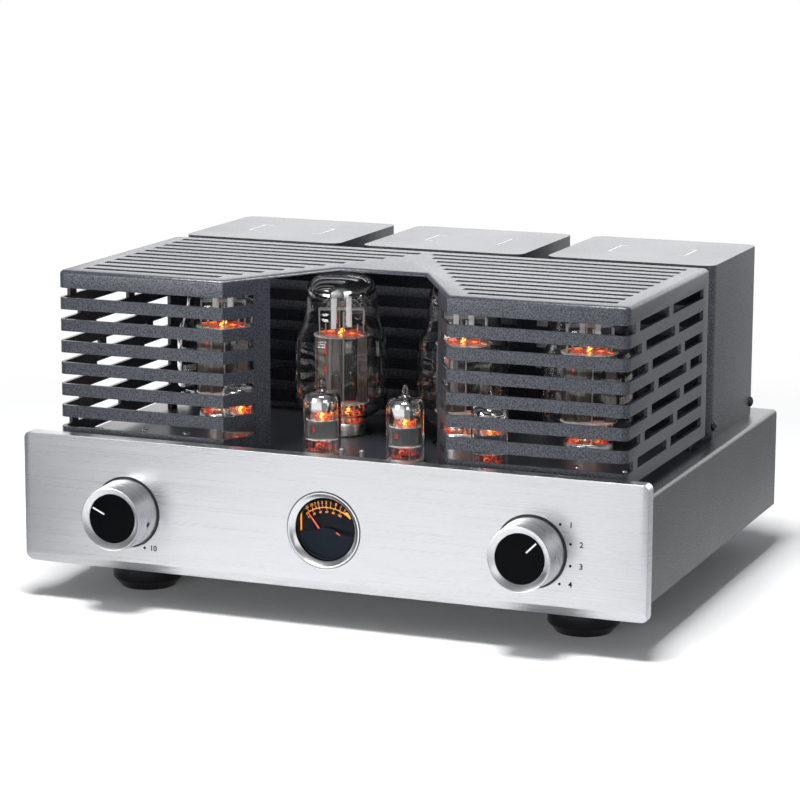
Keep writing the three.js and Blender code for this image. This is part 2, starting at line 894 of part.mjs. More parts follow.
function makeCage() {
  const plan = cagePlan();
  const outer = roundedTop(plan, cageBottom, cageTop, cage.edgeRadius);
  const inner = prism('z', offsetLine(plan, cage.sheet, true), cageBottom - overrun, cageTop - cage.sheet);
  const returnEnd = alongReturn(cage.returnShare);
  const mouth = block(
    [-notchCorner[0], notchCorner[0]],
    [returnEnd[1], notchInner[1] + 2 * cage.sheet],
    [cageBottom - overrun, cageTop - cage.sheet],
  );
  const shell = cut(outer, inner, mouth, ...cageSlots(), ...cageTopSlots());
  const pins = [-1, 1].flatMap((side) => (
    [cageFront + cagePin.frontSetback, cageRear - cagePin.rearSetback].map((y) => {
      const x = side * (cageHalf - cagePin.inset);
      const tab = [side * (cageHalf - cage.sheet / 2), side * (cageHalf - 2 * cagePin.inset)];
      return join(
        block(tab.sort((a, b) => a - b), about(y, cagePin.tabLength), [cageBottom, cageBottom + cage.sheet]),
        rod('z', cagePin.radius, deckTop, cageBottom + cage.sheet, facets.pin, [x, y, 0]),
      );
    })
  ));
  return join(shell, ...pins);
}

add('tube_cage', makeCage(), finish.charcoal);

// Knob: heights are counted backwards from its front rim, so that it is turned about y.
const knobRear = knob.recessDepth - gap;
function makeKnob(turn) {
  const inlayFloor = knob.dishDepth + inlay.thickness - knob.reach;
  const body = turned('y', [
    [0, inlayFloor],
    [knob.dishRadius, inlayFloor],
    [knob.dishRadius, knob.dishDepth - knob.reach],
    [knob.frontRadius - knob.rimChamfer, -knob.reach],
    [knob.frontRadius, knob.rimChamfer - knob.reach],
    [knob.rearRadius, knobRear],
    [0, knobRear],
  ], facets.knob);
  const bore = rod('y', spindle.radius + spindle.knobFit, knobRear - knob.boreDepth, knobRear + overrun, facets.round);
  return cut(body, bore, setScrewHole(turn));
}

// Radial hole for the set screw, at its clock angle from the top.
function setScrewHole(turn) {
  const geometry = new THREE.CylinderGeometry(knob.setScrewRadius, knob.setScrewRadius, knob.rearRadius, facets.small);
  geometry.translate(0, spindle.radius + knob.rearRadius / 2, 0);
  geometry.rotateX(rightAngle);
  geometry.rotateY((turn + setScrewTurn) * degree);
  geometry.translate(0, -knob.setScrewSetback, 0);
  return toSolid(geometry);
}

// Glossy disc in the knob's front, with the pointer line as a low rib.
function makeInlay(turn) {
  const face = knob.dishDepth - knob.reach;
  const disc = rod('y', knob.dishRadius - gap / 2, face, face + inlay.thickness, facets.knob);
  const reach = knob.dishRadius - inlay.pointerInset;
  const rib = new THREE.BoxGeometry(inlay.pointerWidth, inlay.thickness, inlay.pointerLength);
  rib.translate(0, face + inlay.thickness / 2 - inlay.pointerRelief, reach - inlay.pointerLength / 2);
  rib.rotateY(turn * degree);
  return join(disc, toSolid(rib));
}

// Potentiometer or rotary switch: a can behind the front wall, with a threaded bush through it.
function controlBody() {
  const back = chassisFront + chassis.sheet;
  const can = rod('y', spindle.bodyRadius, back, back + spindle.bodyDepth, facets.round);
  const bush = rod('y', bushRadius, knob.recessDepth + gap, back + spindle.bodyDepth / 2, facets.round);
  const bore = rod('y', bushBore, -overrun, back + spindle.bodyDepth / 2, facets.round);
  return cut(join(can, bush), bore);
}

const spindleGeometry = toGeometry(rod('y', spindle.radius, knobRear - knob.boreDepth + gap,
  chassisFront + chassis.sheet + spindle.bodyDepth / 2 - gap, facets.round));
const controlGeometry = toGeometry(controlBody());
for (const [name, x] of Object.entries(controlX)) {
  const at = [x, 0, controlHeight];
  const turn = pointerTurn[name];
  add(`${name}_knob`, makeKnob(turn), finish.satin, at);
  add(`${name}_inlay`, makeInlay(turn), finish.black, at);
  add(`${name}_spindle`, spindleGeometry, finish.steel, at);
  add(name === 'volume' ? 'volume_potentiometer' : 'selector_switch', controlGeometry, finish.steel, at);
}

// Level meter: a coned bezel in the panel, then glass, mask, needle and dial in a case behind it.
const meterAt = [0, 0, meterHeight];
const glassFront = meter.coneDepth + meter.lip;
const glassBack = glassFront + meter.glass;
const maskFront = glassBack + meter.maskDrop;
const maskBack = maskFront + meter.mask;
const needleFront = maskBack + gap;
const needleBack = needleFront + needle.thickness;
const dialFront = needleBack + gap;
const dialBack = dialFront + meter.dial;

add('meter_bezel', turned('y', [
  [meter.bezelRadius - meter.rimWidth, -meter.bezelProud],
  [meter.windowRadius, meter.coneDepth],
  [meter.windowRadius, glassFront],
  [caseSeat, glassFront],
  [caseSeat, panel.thickness],
  [meter.bezelRadius, panel.thickness],
  [meter.bezelRadius, -meter.bezelProud + meter.rimWidth / 2],
  [meter.bezelRadius - meter.rimWidth / 2, -meter.bezelProud],
  [meter.bezelRadius - meter.rimWidth, -meter.bezelProud],
], facets.meter), finish.satin, meterAt);
add('meter_glass', rod('y', caseRadius, glassFront, glassBack, facets.meter), finish.glass, meterAt);

const pivot = [needle.pivotOffset, -needle.pivotDrop];
const cavityRadius = caseRadius - meter.wall;

// Lower edge of the visible dial: the mask bulges up in the middle.
const maskEdgeShares = [[1, -0.2], [0.5, -0.06], [0, 0], [-0.5, -0.06], [-1, -0.2]];
function makeMeterCase() {
  const body = rod('y', caseRadius, glassBack, meter.caseDepth, facets.meter);
  const cavity = rod('y', cavityRadius, glassBack - overrun, dialBack, facets.meter);
  const edge = maskEdgeShares.map(([x, z]) => [x * caseRadius, z * caseRadius]);
  const lower = prism('y', [...edge, [-caseRadius, -caseRadius], [caseRadius, -caseRadius]], maskFront, maskBack);
  const mask = lower.intersect(rod('y', cavityRadius + meter.wall / 2, maskFront, maskBack, facets.meter));
  const pin = rod('y', needle.pinRadius, needleFront, dialBack + overrun, facets.small, [pivot[0], 0, pivot[1]]);
  return join(cut(body, cavity), mask, pin);
}

add('meter_case', makeMeterCase(), finish.black, meterAt);
add('meter_dial', cut(
  rod('y', cavityRadius - gap / 2, dialFront, dialBack, facets.meter),
  rod('y', needle.pinRadius + gap, dialFront - overrun, dialBack + overrun, facets.round, [pivot[0], 0, pivot[1]]),
), finish.dial, meterAt);

function makeNeedle() {
  const blade = new THREE.BoxGeometry(needle.width, needle.thickness, needle.length + needle.tail);
  blade.translate(0, (needleFront + needleBack) / 2, (needle.length - needle.tail) / 2);
  blade.rotateY(needle.restTurn * degree);
  const hub = rod('y', needle.hubRadius, needleFront, needleBack, facets.round);
  const bore = rod('y', needle.pinRadius + gap, needleFront - overrun, needleBack + overrun, facets.round);
  return cut(join(toSolid(blade), hub), bore);
}

add('meter_needle', makeNeedle(), finish.orange, [pivot[0], 0, meterHeight + pivot[1]]);

// Power valve: a waisted bulb in a chrome base, with its electrodes on a stem.
function powerGlass() {
  const outer = bulbShares.map(([r, h]) => [r * powerTube.bulbRadius, h * powerTube.height]);
  const neck = [powerTube.neckRadius, powerTube.baseFloor];
  const crown = domeShares.map(([r, h]) => [r * powerTube.domeRadius, powerTube.height - h * powerTube.domeRadius]);
  const line = [neck, [powerTube.neckRadius, powerTube.baseHeight], ...outer, ...crown];
  const within = line.filter((_, i) => i % 2 === 0 || i < 3).map(([r, h]) => (
    [Math.max(r - powerTube.glass, 0), h > neck[1] ? h - powerTube.glass : h]
  ));
  return turned('z', [...line, ...within.reverse(), neck], facets.glass);
}

function powerElectrodes() {
  const { anodeBottom, anodeHeight, mica } = powerTube;
  const anodeTop = anodeBottom + anodeHeight;
  const inside = powerTube.baseRadius - powerTube.baseWall;
  const base = turned('z', [
    [0, 0],
    [powerTube.baseRadius, 0],
    [powerTube.baseRadius, powerTube.baseHeight],
    [inside, powerTube.baseHeight],
    [inside, powerTube.baseFloor],
    [powerTube.stemRadius, powerTube.baseFloor],
    [powerTube.stemTopRadius, anodeBottom - mica],
    [0, anodeBottom - mica],
  ], facets.glass);
  const spigot = rod('z', powerTube.spigotRadius, -powerTube.spigotLength, powerTube.baseFloor, facets.small);
  const disc = (z) => rod('z', powerTube.micaRadius, z, z + mica, facets.round);
  const wings = powerTube.anodeWidth / 2;
  const face = powerTube.anodeFaceWidth / 2;
  const depth = powerTube.anodeDepth / 2;
  const fin = powerTube.finThickness;
  const anode = prism('z', [
    [-wings, -fin],
    [-face, -depth],
    [face, -depth],
    [wings, -fin],
    [wings, fin],
    [face, depth],
    [-face, depth],
    [-wings, fin],
  ], anodeBottom - mica, anodeTop + mica);
  const posts = [-powerTube.postSpacing / 2, powerTube.postSpacing / 2].map((x) => (
    rod('z', powerTube.postRadius, anodeTop, anodeTop + powerTube.postRise, facets.small, [x, 0, 0])
  ));
  const getter = block(
    about(0, powerTube.postSpacing + 2 * powerTube.postRadius),
    about(0, powerTube.finDepth),
    [anodeTop + powerTube.postRise - fin, anodeTop + powerTube.postRise],
  );
  return join(base, spigot, disc(anodeBottom - mica), anode, disc(anodeTop), ...posts, getter);
}

// Signal valve: a small straight bulb with a sealed tip, standing on its pins.
function signalGlass() {
  const { radius, glass, shoulderHeight, shoulderRise, tipRadius, tipBase, height } = signalTube;
  const foot = signalTube.baseHeight;
  const top = shoulderHeight + shoulderRise;
  const shoulder = shoulderShares.map(([r, h]) => [r * radius, shoulderHeight + h * shoulderRise]);
  const [shoulderRadius, shoulderEdge] = shoulder[shoulder.length - 1];
  const line = [
    [radius, foot],
    [radius, shoulderHeight],
    ...shoulder,
    [tipBase, top],
    [tipRadius, top + tipRadius],
    [tipRadius, height - tipRadius],
    [0, height],
  ];
  const within = [
    [radius - glass, foot],
    [radius - glass, shoulderHeight],
    [shoulderRadius, shoulderEdge - glass],
    [0, top - glass],
  ];
  return turned('z', [...line, ...within.reverse(), line[0]], facets.signal);
}

function signalElectrodes() {
  const { anodeBottom, anodeHeight, mica } = signalTube;
  const anodeTop = anodeBottom + anodeHeight;
  const base = turned('z', [
    [0, 0],
    [signalTube.radius, 0],
    [signalTube.radius, signalTube.baseHeight],
    [signalTube.baseRadius, signalTube.baseHeight],
    [signalTube.stemRadius, anodeBottom - mica],
    [0, anodeBottom - mica],
  ], facets.signal);
  const disc = (z) => rod('z', signalTube.micaRadius, z, z + mica, facets.round);
  const anode = prism('z', roundedRectangle(
    about(0, signalTube.anodeWidth),
    about(0, signalTube.anodeDepth),
    Array(4).fill(signalTube.anodeRadius),
    1,
  ), anodeBottom - mica, anodeTop + mica);
  return join(base, disc(anodeBottom - mica), anode, disc(anodeTop));
}

const powerGlassGeometry = toGeometry(powerGlass());
const powerElectrodeGeometry = toGeometry(powerElectrodes());
const signalGlassGeometry = toGeometry(signalGlass());
const signalElectrodeGeometry = toGeometry(signalElectrodes());
powerX.forEach((x, i) => {
  const at = [x, powerRow, deckTop];
  add(`power_tube_${i + 1}_glass`, powerGlassGeometry, finish.glass, at);
  add(`power_tube_${i + 1}_electrodes`, powerElectrodeGeometry, finish.electrode, at);
});
signalX.forEach((x, i) => {
  const at = [x, signalRow, deckTop];
  add(`signal_tube_${i + 1}_glass`, signalGlassGeometry, finish.glass, at);
  add(`signal_tube_${i + 1}_electrodes`, signalElectrodeGeometry, finish.electrode, at);
});

// Circuit board under the deck, carrying the eight valve sockets and hung from pillars.
function makeTubeBoard() {
  const top = deckUnder - tubeBoard.drop;
  const half = powerX[powerX.length - 1] + tubeBoard.sideMargin;
  const front = signalRow - tubeBoard.frontMargin;
  const rear = powerRow + tubeBoard.rearMargin;
  const board = block([-half, half], [front, rear], [top - tubeBoard.thickness, top]);
  const octal = powerX.map((x) => (
    rod('z', tubeBoard.octalRadius, top, deckTop, facets.glass, [x, powerRow, 0])
  ));
  const keyways = powerX.map((x) => (
    rod('z', powerTube.spigotRadius + gap, deckTop - powerTube.spigotLength - gap, deckTop + overrun,
      facets.small, [x, powerRow, 0])
  ));
  const noval = signalX.map((x) => (
    rod('z', tubeBoard.novalRadius, top, deckTop, facets.signal, [x, signalRow, 0])
  ));
  const pillars = [-half + tubeBoard.pillarInset, 0, half - tubeBoard.pillarInset].flatMap((x) => (
    [front + tubeBoard.pillarInset, rear - tubeBoard.pillarInset].map((y) => (
      rod('z', tubeBoard.pillarRadius, top, deckUnder, facets.small, [x, y, 0])
    ))
  ));
  return cut(join(board, ...octal, ...noval, ...pillars), ...keyways);
}

add('tube_board', makeTubeBoard(), finish.board);

// Power supply board with its reservoir capacitors, on standoffs over the bottom cover.
function makeSupplyBoard() {
  const floor = chassis.bottom + bottomCover.sheet;
  const under = floor + supplyBoard.rise;
  const top = under + supplyBoard.thickness;
  const rear = chassisRear - chassis.sheet - supplyBoard.rearMargin - inlet.bodyDepth / 2;
  const half = supplyBoard.width / 2;
  const frontEdge = rear - supplyBoard.depth;
  const inset = supplyBoard.standoffInset;
  const board = block([-half, half], [frontEdge, rear], [under, top]);
  const capacitors = tubeShares.map((share) => (
    rod('z', supplyBoard.capacitorRadius, top, top + supplyBoard.capacitorHeight, facets.round,
      [share * supplyBoard.capacitorPitch, frontEdge + supplyBoard.depth / 2, 0])
  ));
  const standoffs = [-half + inset, half - inset].flatMap((x) => [frontEdge + inset, rear - inset].map((y) => (
    rod('z', supplyBoard.standoffRadius, floor, under, facets.small, [x, y, 0])
  )));
  return join(board, ...capacitors, ...standoffs);
}

add('power_supply_board', makeSupplyBoard(), finish.board);

// Loudspeaker terminals: threaded posts on an insulating block, each with a screw-down nut.
const terminalX = range(terminal.count).map((i) => (
  terminalMiddle + (i - (terminal.count - 1) / 2) * terminal.pitch
));
const plateFace = rearFace + terminal.plate;

function makeTerminalBlock() {
  const plate = block(
    about(terminalMiddle, terminalWidth),
    [rearFace, plateFace],
    about(rearMiddle, terminal.plateHeight),
  );
  const inner = block(
    about(terminalMiddle, terminalWidth - 2 * terminal.innerMargin),
    [rearFace - terminal.innerDepth, rearFace],
    about(rearMiddle, terminal.plateHeight / 2),
  );
  const posts = terminalX.map((x) => turned('y', [
    [0, rearFace],
    [terminal.collarRadius, rearFace],
    [terminal.collarRadius, plateFace + terminal.collarLength],
    [terminal.postRadius, plateFace + terminal.collarLength],
    [terminal.postRadius, rearReach],
    [0, rearReach],
  ], facets.round, [x, 0, rearMiddle]));
  return join(plate, inner, ...posts);
}

add('speaker_terminal_block', makeTerminalBlock(), finish.black);

const nutStart = plateFace + terminal.collarLength + gap;
const nutBore = terminal.postRadius + terminal.nutFit;
const nutGeometry = toGeometry(turned('y', [
  [nutBore, nutStart],
  [terminal.nutRadius, nutStart],
  [terminal.nutRadius, nutStart + terminal.nutLength - terminal.nutChamfer],
  [terminal.nutRadius - terminal.nutChamfer, nutStart + terminal.nutLength],
  [nutBore, nutStart + terminal.nutLength],
  [nutBore, nutStart],
], facets.round));
terminalX.forEach((x, i) => {
  const colour = i % 3 === 0 ? finish.black : finish.red;
  add(`speaker_nut_${i + 1}`, nutGeometry, colour, [x, 0, rearMiddle]);
});

// Phono sockets for the line inputs, two rows on one insulating plate.
function makePhonoBlock() {
  const plate = block(
    about(phonoMiddle, phonoWidth),
    [rearFace, rearFace + phono.plate],
    about(rearMiddle, phonoHeight),
  );
  const inner = block(
    about(phonoMiddle, phonoWidth - 2 * phono.innerMargin),
    [rearFace - phono.innerDepth, rearFace],
    about(rearMiddle, phonoHeight - 2 * phono.innerMargin),
  );
  const places = range(phono.columns).flatMap((i) => range(phono.rows).map((k) => [
    phonoMiddle + (i - (phono.columns - 1) / 2) * phono.pitchX,
    0,
    rearMiddle + (k - (phono.rows - 1) / 2) * phono.pitchZ,
  ]));
  const face = rearFace + phono.plate;
  const end = face + phono.collarLength + phono.barrelLength;
  const jacks = places.map((at) => turned('y', [
    [0, rearFace],
    [phono.collarRadius, rearFace],
    [phono.collarRadius, face + phono.collarLength],
    [phono.barrelRadius, face + phono.collarLength],
    [phono.barrelRadius, end],
    [0, end],
  ], facets.round, at));
  const bores = places.map((at) => (
    rod('y', phono.boreRadius, end - phono.boreDepth, end + overrun, facets.small, at)
  ));
  return cut(join(plate, inner, ...jacks), ...bores);
}

add('phono_block', makePhonoBlock(), finish.black);

// Mains inlet with its three blades, and the fuse drawer below them.
const inletFace = rearFace + inlet.flange;
const cavityMiddle = rearMiddle + inlet.cavityRise;
const fuseMiddle = rearMiddle - fuse.drop;

function makeInlet() {
  const flange = block(
    about(inletMiddle, inlet.flangeWidth),
    [rearFace, inletFace],
    about(rearMiddle, inlet.flangeHeight),
  );
  const body = block(
    about(inletMiddle, inlet.bodyWidth),
    [rearFace - inlet.bodyDepth, rearFace],
    about(rearMiddle, inlet.bodyHeight),
  );
  const cavity = block(
    about(inletMiddle, inlet.cavityWidth),
    [inletFace - inlet.cavityDepth, inletFace + overrun],
    about(cavityMiddle, inlet.cavityHeight),
  );
  const drawerSlot = block(
    about(inletMiddle, fuse.width + 2 * gap),
    [inletFace - fuse.depth - gap, inletFace + overrun],
    about(fuseMiddle, fuse.height + 2 * gap),
  );
  const blades = [-1, 0, 1].map((share) => {
    const z = cavityMiddle + (share === 0 ? inlet.bladeDrop / 2 : -inlet.bladeDrop / 2);
    return block(
      about(inletMiddle + share * inlet.bladePitch, inlet.bladeWidth),
      [inletFace - inlet.cavityDepth - overrun, inletFace - inlet.cavityDepth + inlet.bladeLength],
      about(z, inlet.bladeHeight),
    );
  });
  return join(cut(join(flange, body), cavity, drawerSlot), ...blades);
}

add('mains_inlet', makeInlet(), finish.black);
add('fuse_drawer', join(
  block(
    about(inletMiddle, fuse.width),
    [inletFace - fuse.depth, inletFace + gap],
    about(fuseMiddle, fuse.height),
  ),
  block(
    about(inletMiddle, fuse.width + 2 * fuse.lipMargin),
    [inletFace + gap, inletFace + gap + fuse.lip],
    about(fuseMiddle, fuse.height + 2 * fuse.lipMargin),
  ),
), finish.black);

// Aerial: a fixed jack, a knuckle that turns on it, and a rod that folds in the knuckle's fork.
const knuckleStart = rearFace + antenna.jackNut + gap;
const rodAxisY = forkStart + antenna.forkDepth / 2;
const antennaMiddle = antenna.sideInset - chassisSide;
const antennaHeight = rearMiddle + antenna.rise;
const antennaAt = [antennaMiddle, 0, antennaHeight];

add('antenna_jack', join(
  rod('y', antenna.jackFlats, rearFace, rearFace + antenna.jackNut, 6),
  rod('y', antenna.jackRadius, rearFace - antenna.jackTail, jackEnd, facets.round),
), finish.chrome, antennaAt);

function makeKnuckle() {
  const body = rod('y', antenna.knuckleRadius, knuckleStart, knuckleEnd, facets.round);
  const socket = rod('y', antenna.jackRadius + antenna.knuckleFit, knuckleStart - overrun, jackEnd + gap, facets.round);
  const fork = block(
    about(0, antenna.forkSlot),
    [forkStart, knuckleEnd + overrun],
    [-2 * antenna.knuckleRadius, 2 * antenna.knuckleRadius],
  );
  const pinEnd = antenna.knuckleRadius - antenna.pinInset;
  const pin = rod('x', antenna.pinRadius, -pinEnd, pinEnd, facets.small, [0, rodAxisY, 0]);
  return join(cut(body, socket, fork), pin);
}

add('antenna_knuckle', makeKnuckle(), finish.rubber, antennaAt);

function makeAntennaRod() {
  const eye = antenna.forkDepth / 2 - gap;
  const tongueTop = Math.hypot(antenna.forkDepth / 2, antenna.knuckleRadius) + gap;
  const tongue = join(
    rod('x', eye, -antenna.tongue / 2, antenna.tongue / 2, facets.round),
    block(about(0, antenna.tongue), [-eye, eye], [0, tongueTop]),
  );
  const shaft = turned('z', [
    [0, tongueTop],
    [antenna.rodRadius, tongueTop],
    [antenna.rodTipRadius, antenna.rodLength],
    [0, antenna.rodLength],
  ], facets.round);
  const bore = rod('x', antenna.pinRadius + gap, -antenna.tongue, antenna.tongue, facets.round);
  return cut(join(tongue, shaft), bore);
}

add('antenna_rod', makeAntennaRod(), finish.rubber, [antennaMiddle, rodAxisY, antennaHeight]);

// Mains switch in the left side: a frame set in the wall, with a rocker on a pin along z.
const sideFace = -chassisSide;
const rockerAxisX = sideFace - rocker.frame + rocker.proud;

function makeRockerFrame() {
  const flange = block(
    [sideFace - rocker.frame, sideFace],
    about(rockerMiddle, rocker.frameLength),
    about(rearMiddle, rocker.frameHeight),
  );
  const body = block(
    [sideFace, sideFace + rocker.bodyDepth],
    about(rockerMiddle, rocker.bodyLength),
    about(rearMiddle, rocker.bodyHeight),
  );
  const well = block(
    [sideFace - rocker.frame - overrun, sideFace + rocker.bodyDepth - rocker.wall],
    about(rockerMiddle, rocker.bodyLength - 2 * rocker.wall),
    about(rearMiddle, rocker.bodyHeight - 2 * rocker.wall),
  );
  const pin = rod('z', rocker.pinRadius, -rocker.bodyHeight / 2 + rocker.wall / 2,
    rocker.bodyHeight / 2 - rocker.wall / 2, facets.small, [rockerAxisX, rockerMiddle, rearMiddle]);
  return join(cut(join(flange, body), well), pin);
}

// The rocker is dished: its outer face is two flats that meet over the pin.
function makeRocker() {
  const half = rocker.bodyLength / 2 - rocker.wall - 2 * gap;
  const lift = half * Math.tan(rocker.tilt * degree);
  const outer = -rocker.proud + lift / 2;
  const outline = [
    [-half, outer - lift],
    [0, outer],
    [half, outer - lift],
    [half, outer + rocker.thickness / 2],
    [half / 2, outer + rocker.thickness],
    [-half / 2, outer + rocker.thickness],
    [-half, outer + rocker.thickness / 2],
  ];
  const height = rocker.bodyHeight - 2 * rocker.wall - 2 * gap;
  const geometry = new THREE.ExtrudeGeometry(
    new THREE.Shape(outline.map(([y, x]) => new THREE.Vector2(x, y))),
    { depth: height, bevelEnabled: false },
  );
  geometry.translate(0, 0, -height / 2);
  geometry.rotateZ(rocker.tilt * degree);
  const bore = rod('z', rocker.pinRadius + gap, -height, height, facets.round);
  return cut(toSolid(geometry), bore);
}

add('power_switch_frame', makeRockerFrame(), finish.black);
add('power_rocker', makeRocker(), finish.black, [rockerAxisX, rockerMiddle, rearMiddle]);

export default amplifier;
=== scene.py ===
import math
import random
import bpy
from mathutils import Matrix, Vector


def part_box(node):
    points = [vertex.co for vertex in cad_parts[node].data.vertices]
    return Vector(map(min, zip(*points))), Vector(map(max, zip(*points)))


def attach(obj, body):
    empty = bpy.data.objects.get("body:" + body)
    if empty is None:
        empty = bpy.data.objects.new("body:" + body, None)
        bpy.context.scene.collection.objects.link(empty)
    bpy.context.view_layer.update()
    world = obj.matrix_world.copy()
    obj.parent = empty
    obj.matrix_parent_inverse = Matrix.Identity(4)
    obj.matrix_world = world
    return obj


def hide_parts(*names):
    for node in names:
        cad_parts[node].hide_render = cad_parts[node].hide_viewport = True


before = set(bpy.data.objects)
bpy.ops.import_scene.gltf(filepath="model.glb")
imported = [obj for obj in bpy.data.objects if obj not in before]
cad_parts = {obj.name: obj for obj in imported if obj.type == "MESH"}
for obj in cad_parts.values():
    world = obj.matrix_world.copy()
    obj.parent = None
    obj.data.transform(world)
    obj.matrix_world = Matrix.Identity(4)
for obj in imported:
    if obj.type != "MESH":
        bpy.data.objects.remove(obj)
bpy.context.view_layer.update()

from types import SimpleNamespace as Size

import bmesh
import bpy
from mathutils import Matrix, Vector

# A valve integrated amplifier. Lengths are in millimetres: x runs left to right, y from the face
# of the front panel to the rear, and z up from the surface that it stands on.
MM = 0.001
FACE_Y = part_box("front_panel")[0].y
DEGREE = math.pi / 180
TINY = 1e-6

facets = Size(fine=128, round=64, small=32, tiny=16, corner=6)
gap = 0.3
reach = 2.0
view_azimuth = 21.58

panel = Size(half=189.0, bottom=21.6, top=98.8, thick=9.0, corner=4.0, side_width=3.1, side_depth=0.6,
             bevel_height=5.65, bevel_depth=3.4, edge=0.35)
chassis = Size(half=183.6, front=9.0, rear=290.7, bottom=27.0, deck=87.4, sheet=1.6, corner=2.5)
foot = Size(out=136.3, front=54.0, rear=248.7, ground=16.3, top=20.7, shoulder=5.5, height=27.0)
cover = Size(pitch=119.3, half_width=52.1, front=180.8, rear=279.1, height=104.4, sheet=1.5, corner=7.0,
             edge=6.0, screw=3.1, screw_height=1.6, screw_inset=7.5, screw_rise=7.6, bracket_x=24,
             bracket_y=13, bracket_arm=5, bracket_line=0.3, ink=0.05)
cage = Size(half=172.3, front=13.7, rear=170.7, bottom=93.0, top=192.25, sheet=2.0, corner=4.0, edge=2.5,
            mouth=67.7, notch=26.9, notch_depth=73.0, return_share=0.4, slot_share=0.275)
slot = Size(first=10.15, height=5.7, pitch=12.62, count=7, wrap=11.5, stagger=12.3, dash=55.0, bridge=7.9,
            rear_margin=13.6, wall_bridge=12.0, wall_dash=54.0)
top_slot = Size(width=5.7, pitch=13.04, count=11, margin=13.5, side=10.8, border=14.8, web=4.0)
pin = Size(radius=3.1, inset=6.4, tab=12.0, front=24.0, rear=21.0, rings=4, ring_pitch=1.4, groove=0.35)
knob = Size(out=122.8, z=56.6, reach=21.0, front=18.4, rear=19.8, dish=14.4, dish_depth=2.3, recess=20.7,
            recess_depth=1.2, screw=1.7, screw_setback=10.5, inlay=1.2, shaft_hole=5.3, bore=3.2,
            bore_depth=14)
pointer = Size(width=0.9, length=8.0, inset=1.1, relief=0.15)
turns = Size(volume=-65.0, selector=45.0, volume_screw=101.0, selector_screw=211.0)
meter = Size(z=57.0, bezel=21.9, window=18.25, cone=2.3, lip=0.7, glass=1.2, wall=1.4, depth=32.0,
             cavity_wall=2.2, can_hole=19.95)
needle = Size(x=1.5, drop=9.0, length=21.4, tail=4.0, width=0.55, hub=2.1, bore=1.1, pin=0.8, rest=-38.0)
# Upper edge of the mask in front of the dial, from the right to the left: (x, z) from its centre.
mask_crest = ((20.9, -3.6), (15.0, -2.9), (10.4, -2.2), (6.4, -0.8), (2.6, 0.5), (-1.2, 0.5), (-4.6, -0.2),
              (-8.0, -1.8), (-12.0, -2.6), (-17.3, -2.9), (-20.9, -3.1))
# Printed scale: an arc about its own centre, with (figure, angle) above it and shares of full below.
scale = Size(x=-0.3, drop=8.7, radius=20.3, start=-39, wedge=29, end=43, line=0.36, last_share=24)
scale_figures = (("20", -33), ("10", -25), ("7", -19), ("5", -14), ("3", -8), ("2", -2), ("1", 5),
                 ("0", 13), ("1", 21), ("2", 28), ("3", 36))
power = Size(pitch=77.46, row=118.5)
signal = Size(pitch=51.54, row=58.5)
tube_shares = (-1.5, -0.5, 0.5, 1.5)
power_x = [share * power.pitch for share in tube_shares]
signal_x = [share * signal.pitch for share in tube_shares]

rear_mid = (chassis.bottom + chassis.deck) / 2
octal, noval = 17.0, 11.2
socket_gap = 0.7
socket_depth = 9
terminal = Size(x=25.5, pitch=21.0, count=6, margin=13.5, height=28.0, plate=2.5, post=21.0, nut=14.0,
                nut_radius=6.8, nut_bore=3.45, knurl=0.35, teeth=48, thread=3.0, thread_pitch=0.7, rim=6,
                body_half=7, body_depth=12, collar=3, screw_inset=4, screw_rise=9.5)
terminal.half = (terminal.count - 1) * terminal.pitch / 2 + terminal.margin
phono = Size(x=-105.0, columns=3, rows=2, px=21.0, pz=19.0, margin=9.0, plate=2.0, rim=4, body_depth=12)
inlet = Size(x=142.0, width=32.0, height=42.0, flange=2.0, body_width=27.5, body_height=36.0,
             body_depth=30.0, plug_rise=6, drawer_drop=9.5, drawer_half=11, drawer_depth=22,
             drawer_rise=4)
aerial = Size(x=-158.0, z=66.0, flats=6.4, nut=2.6, jack=3.1, jack_length=8.0, thread_pitch=0.6,
              collar=2.4, fork=11)
rocker = Size(y=58.0, frame=1.6, height=15.0, depth=16.0, wall=1.6, frame_y=17, frame_z=10.5, body_y=14,
              body_z=7.5, axis=3.2, tilt=8, dish=1.4, mark=7.2)
phono.half_x = (phono.columns - 1) * phono.px / 2 + phono.margin
phono.half_z = (phono.rows - 1) * phono.pz / 2 + phono.margin
button = Size(radius=2.4, height=1.2)
deck_screw = Size(y=80, insets=(60.6, 32.6))
deck_post = Size(x=6.2, y=41)
valve_board = Size(half=150, front=42, rear=154, corner=2, thick=1.6, drop=18.2, spacer=3,
                   spacer_x=(-142, 0, 142), spacer_y=(50, 146))

AXES = {"x": lambda a, b, h: (h, a, b), "y": lambda a, b, h: (a, h, b), "z": lambda a, b, h: (a, b, h)}


def span(centre, half):
    return centre - half, centre + half


def sided(side, *ends):
    """Low and high end of a stretch that is mirrored where side is -1."""
    return sorted(side * end for end in ends)


def polar(radius, turn):
    return radius * math.cos(turn), radius * math.sin(turn)


def clock(radius, degrees, centre=(0, 0)):
    """Point at a radius and a clock angle, as (x, z)."""
    x, z = polar(radius, degrees * DEGREE)
    return centre[0] + z, centre[1] + x


def beside(points, i):
    """The points before and after one, or itself at an end of the line."""
    return points[max(i - 1, 0)], points[min(i + 1, len(points) - 1)]


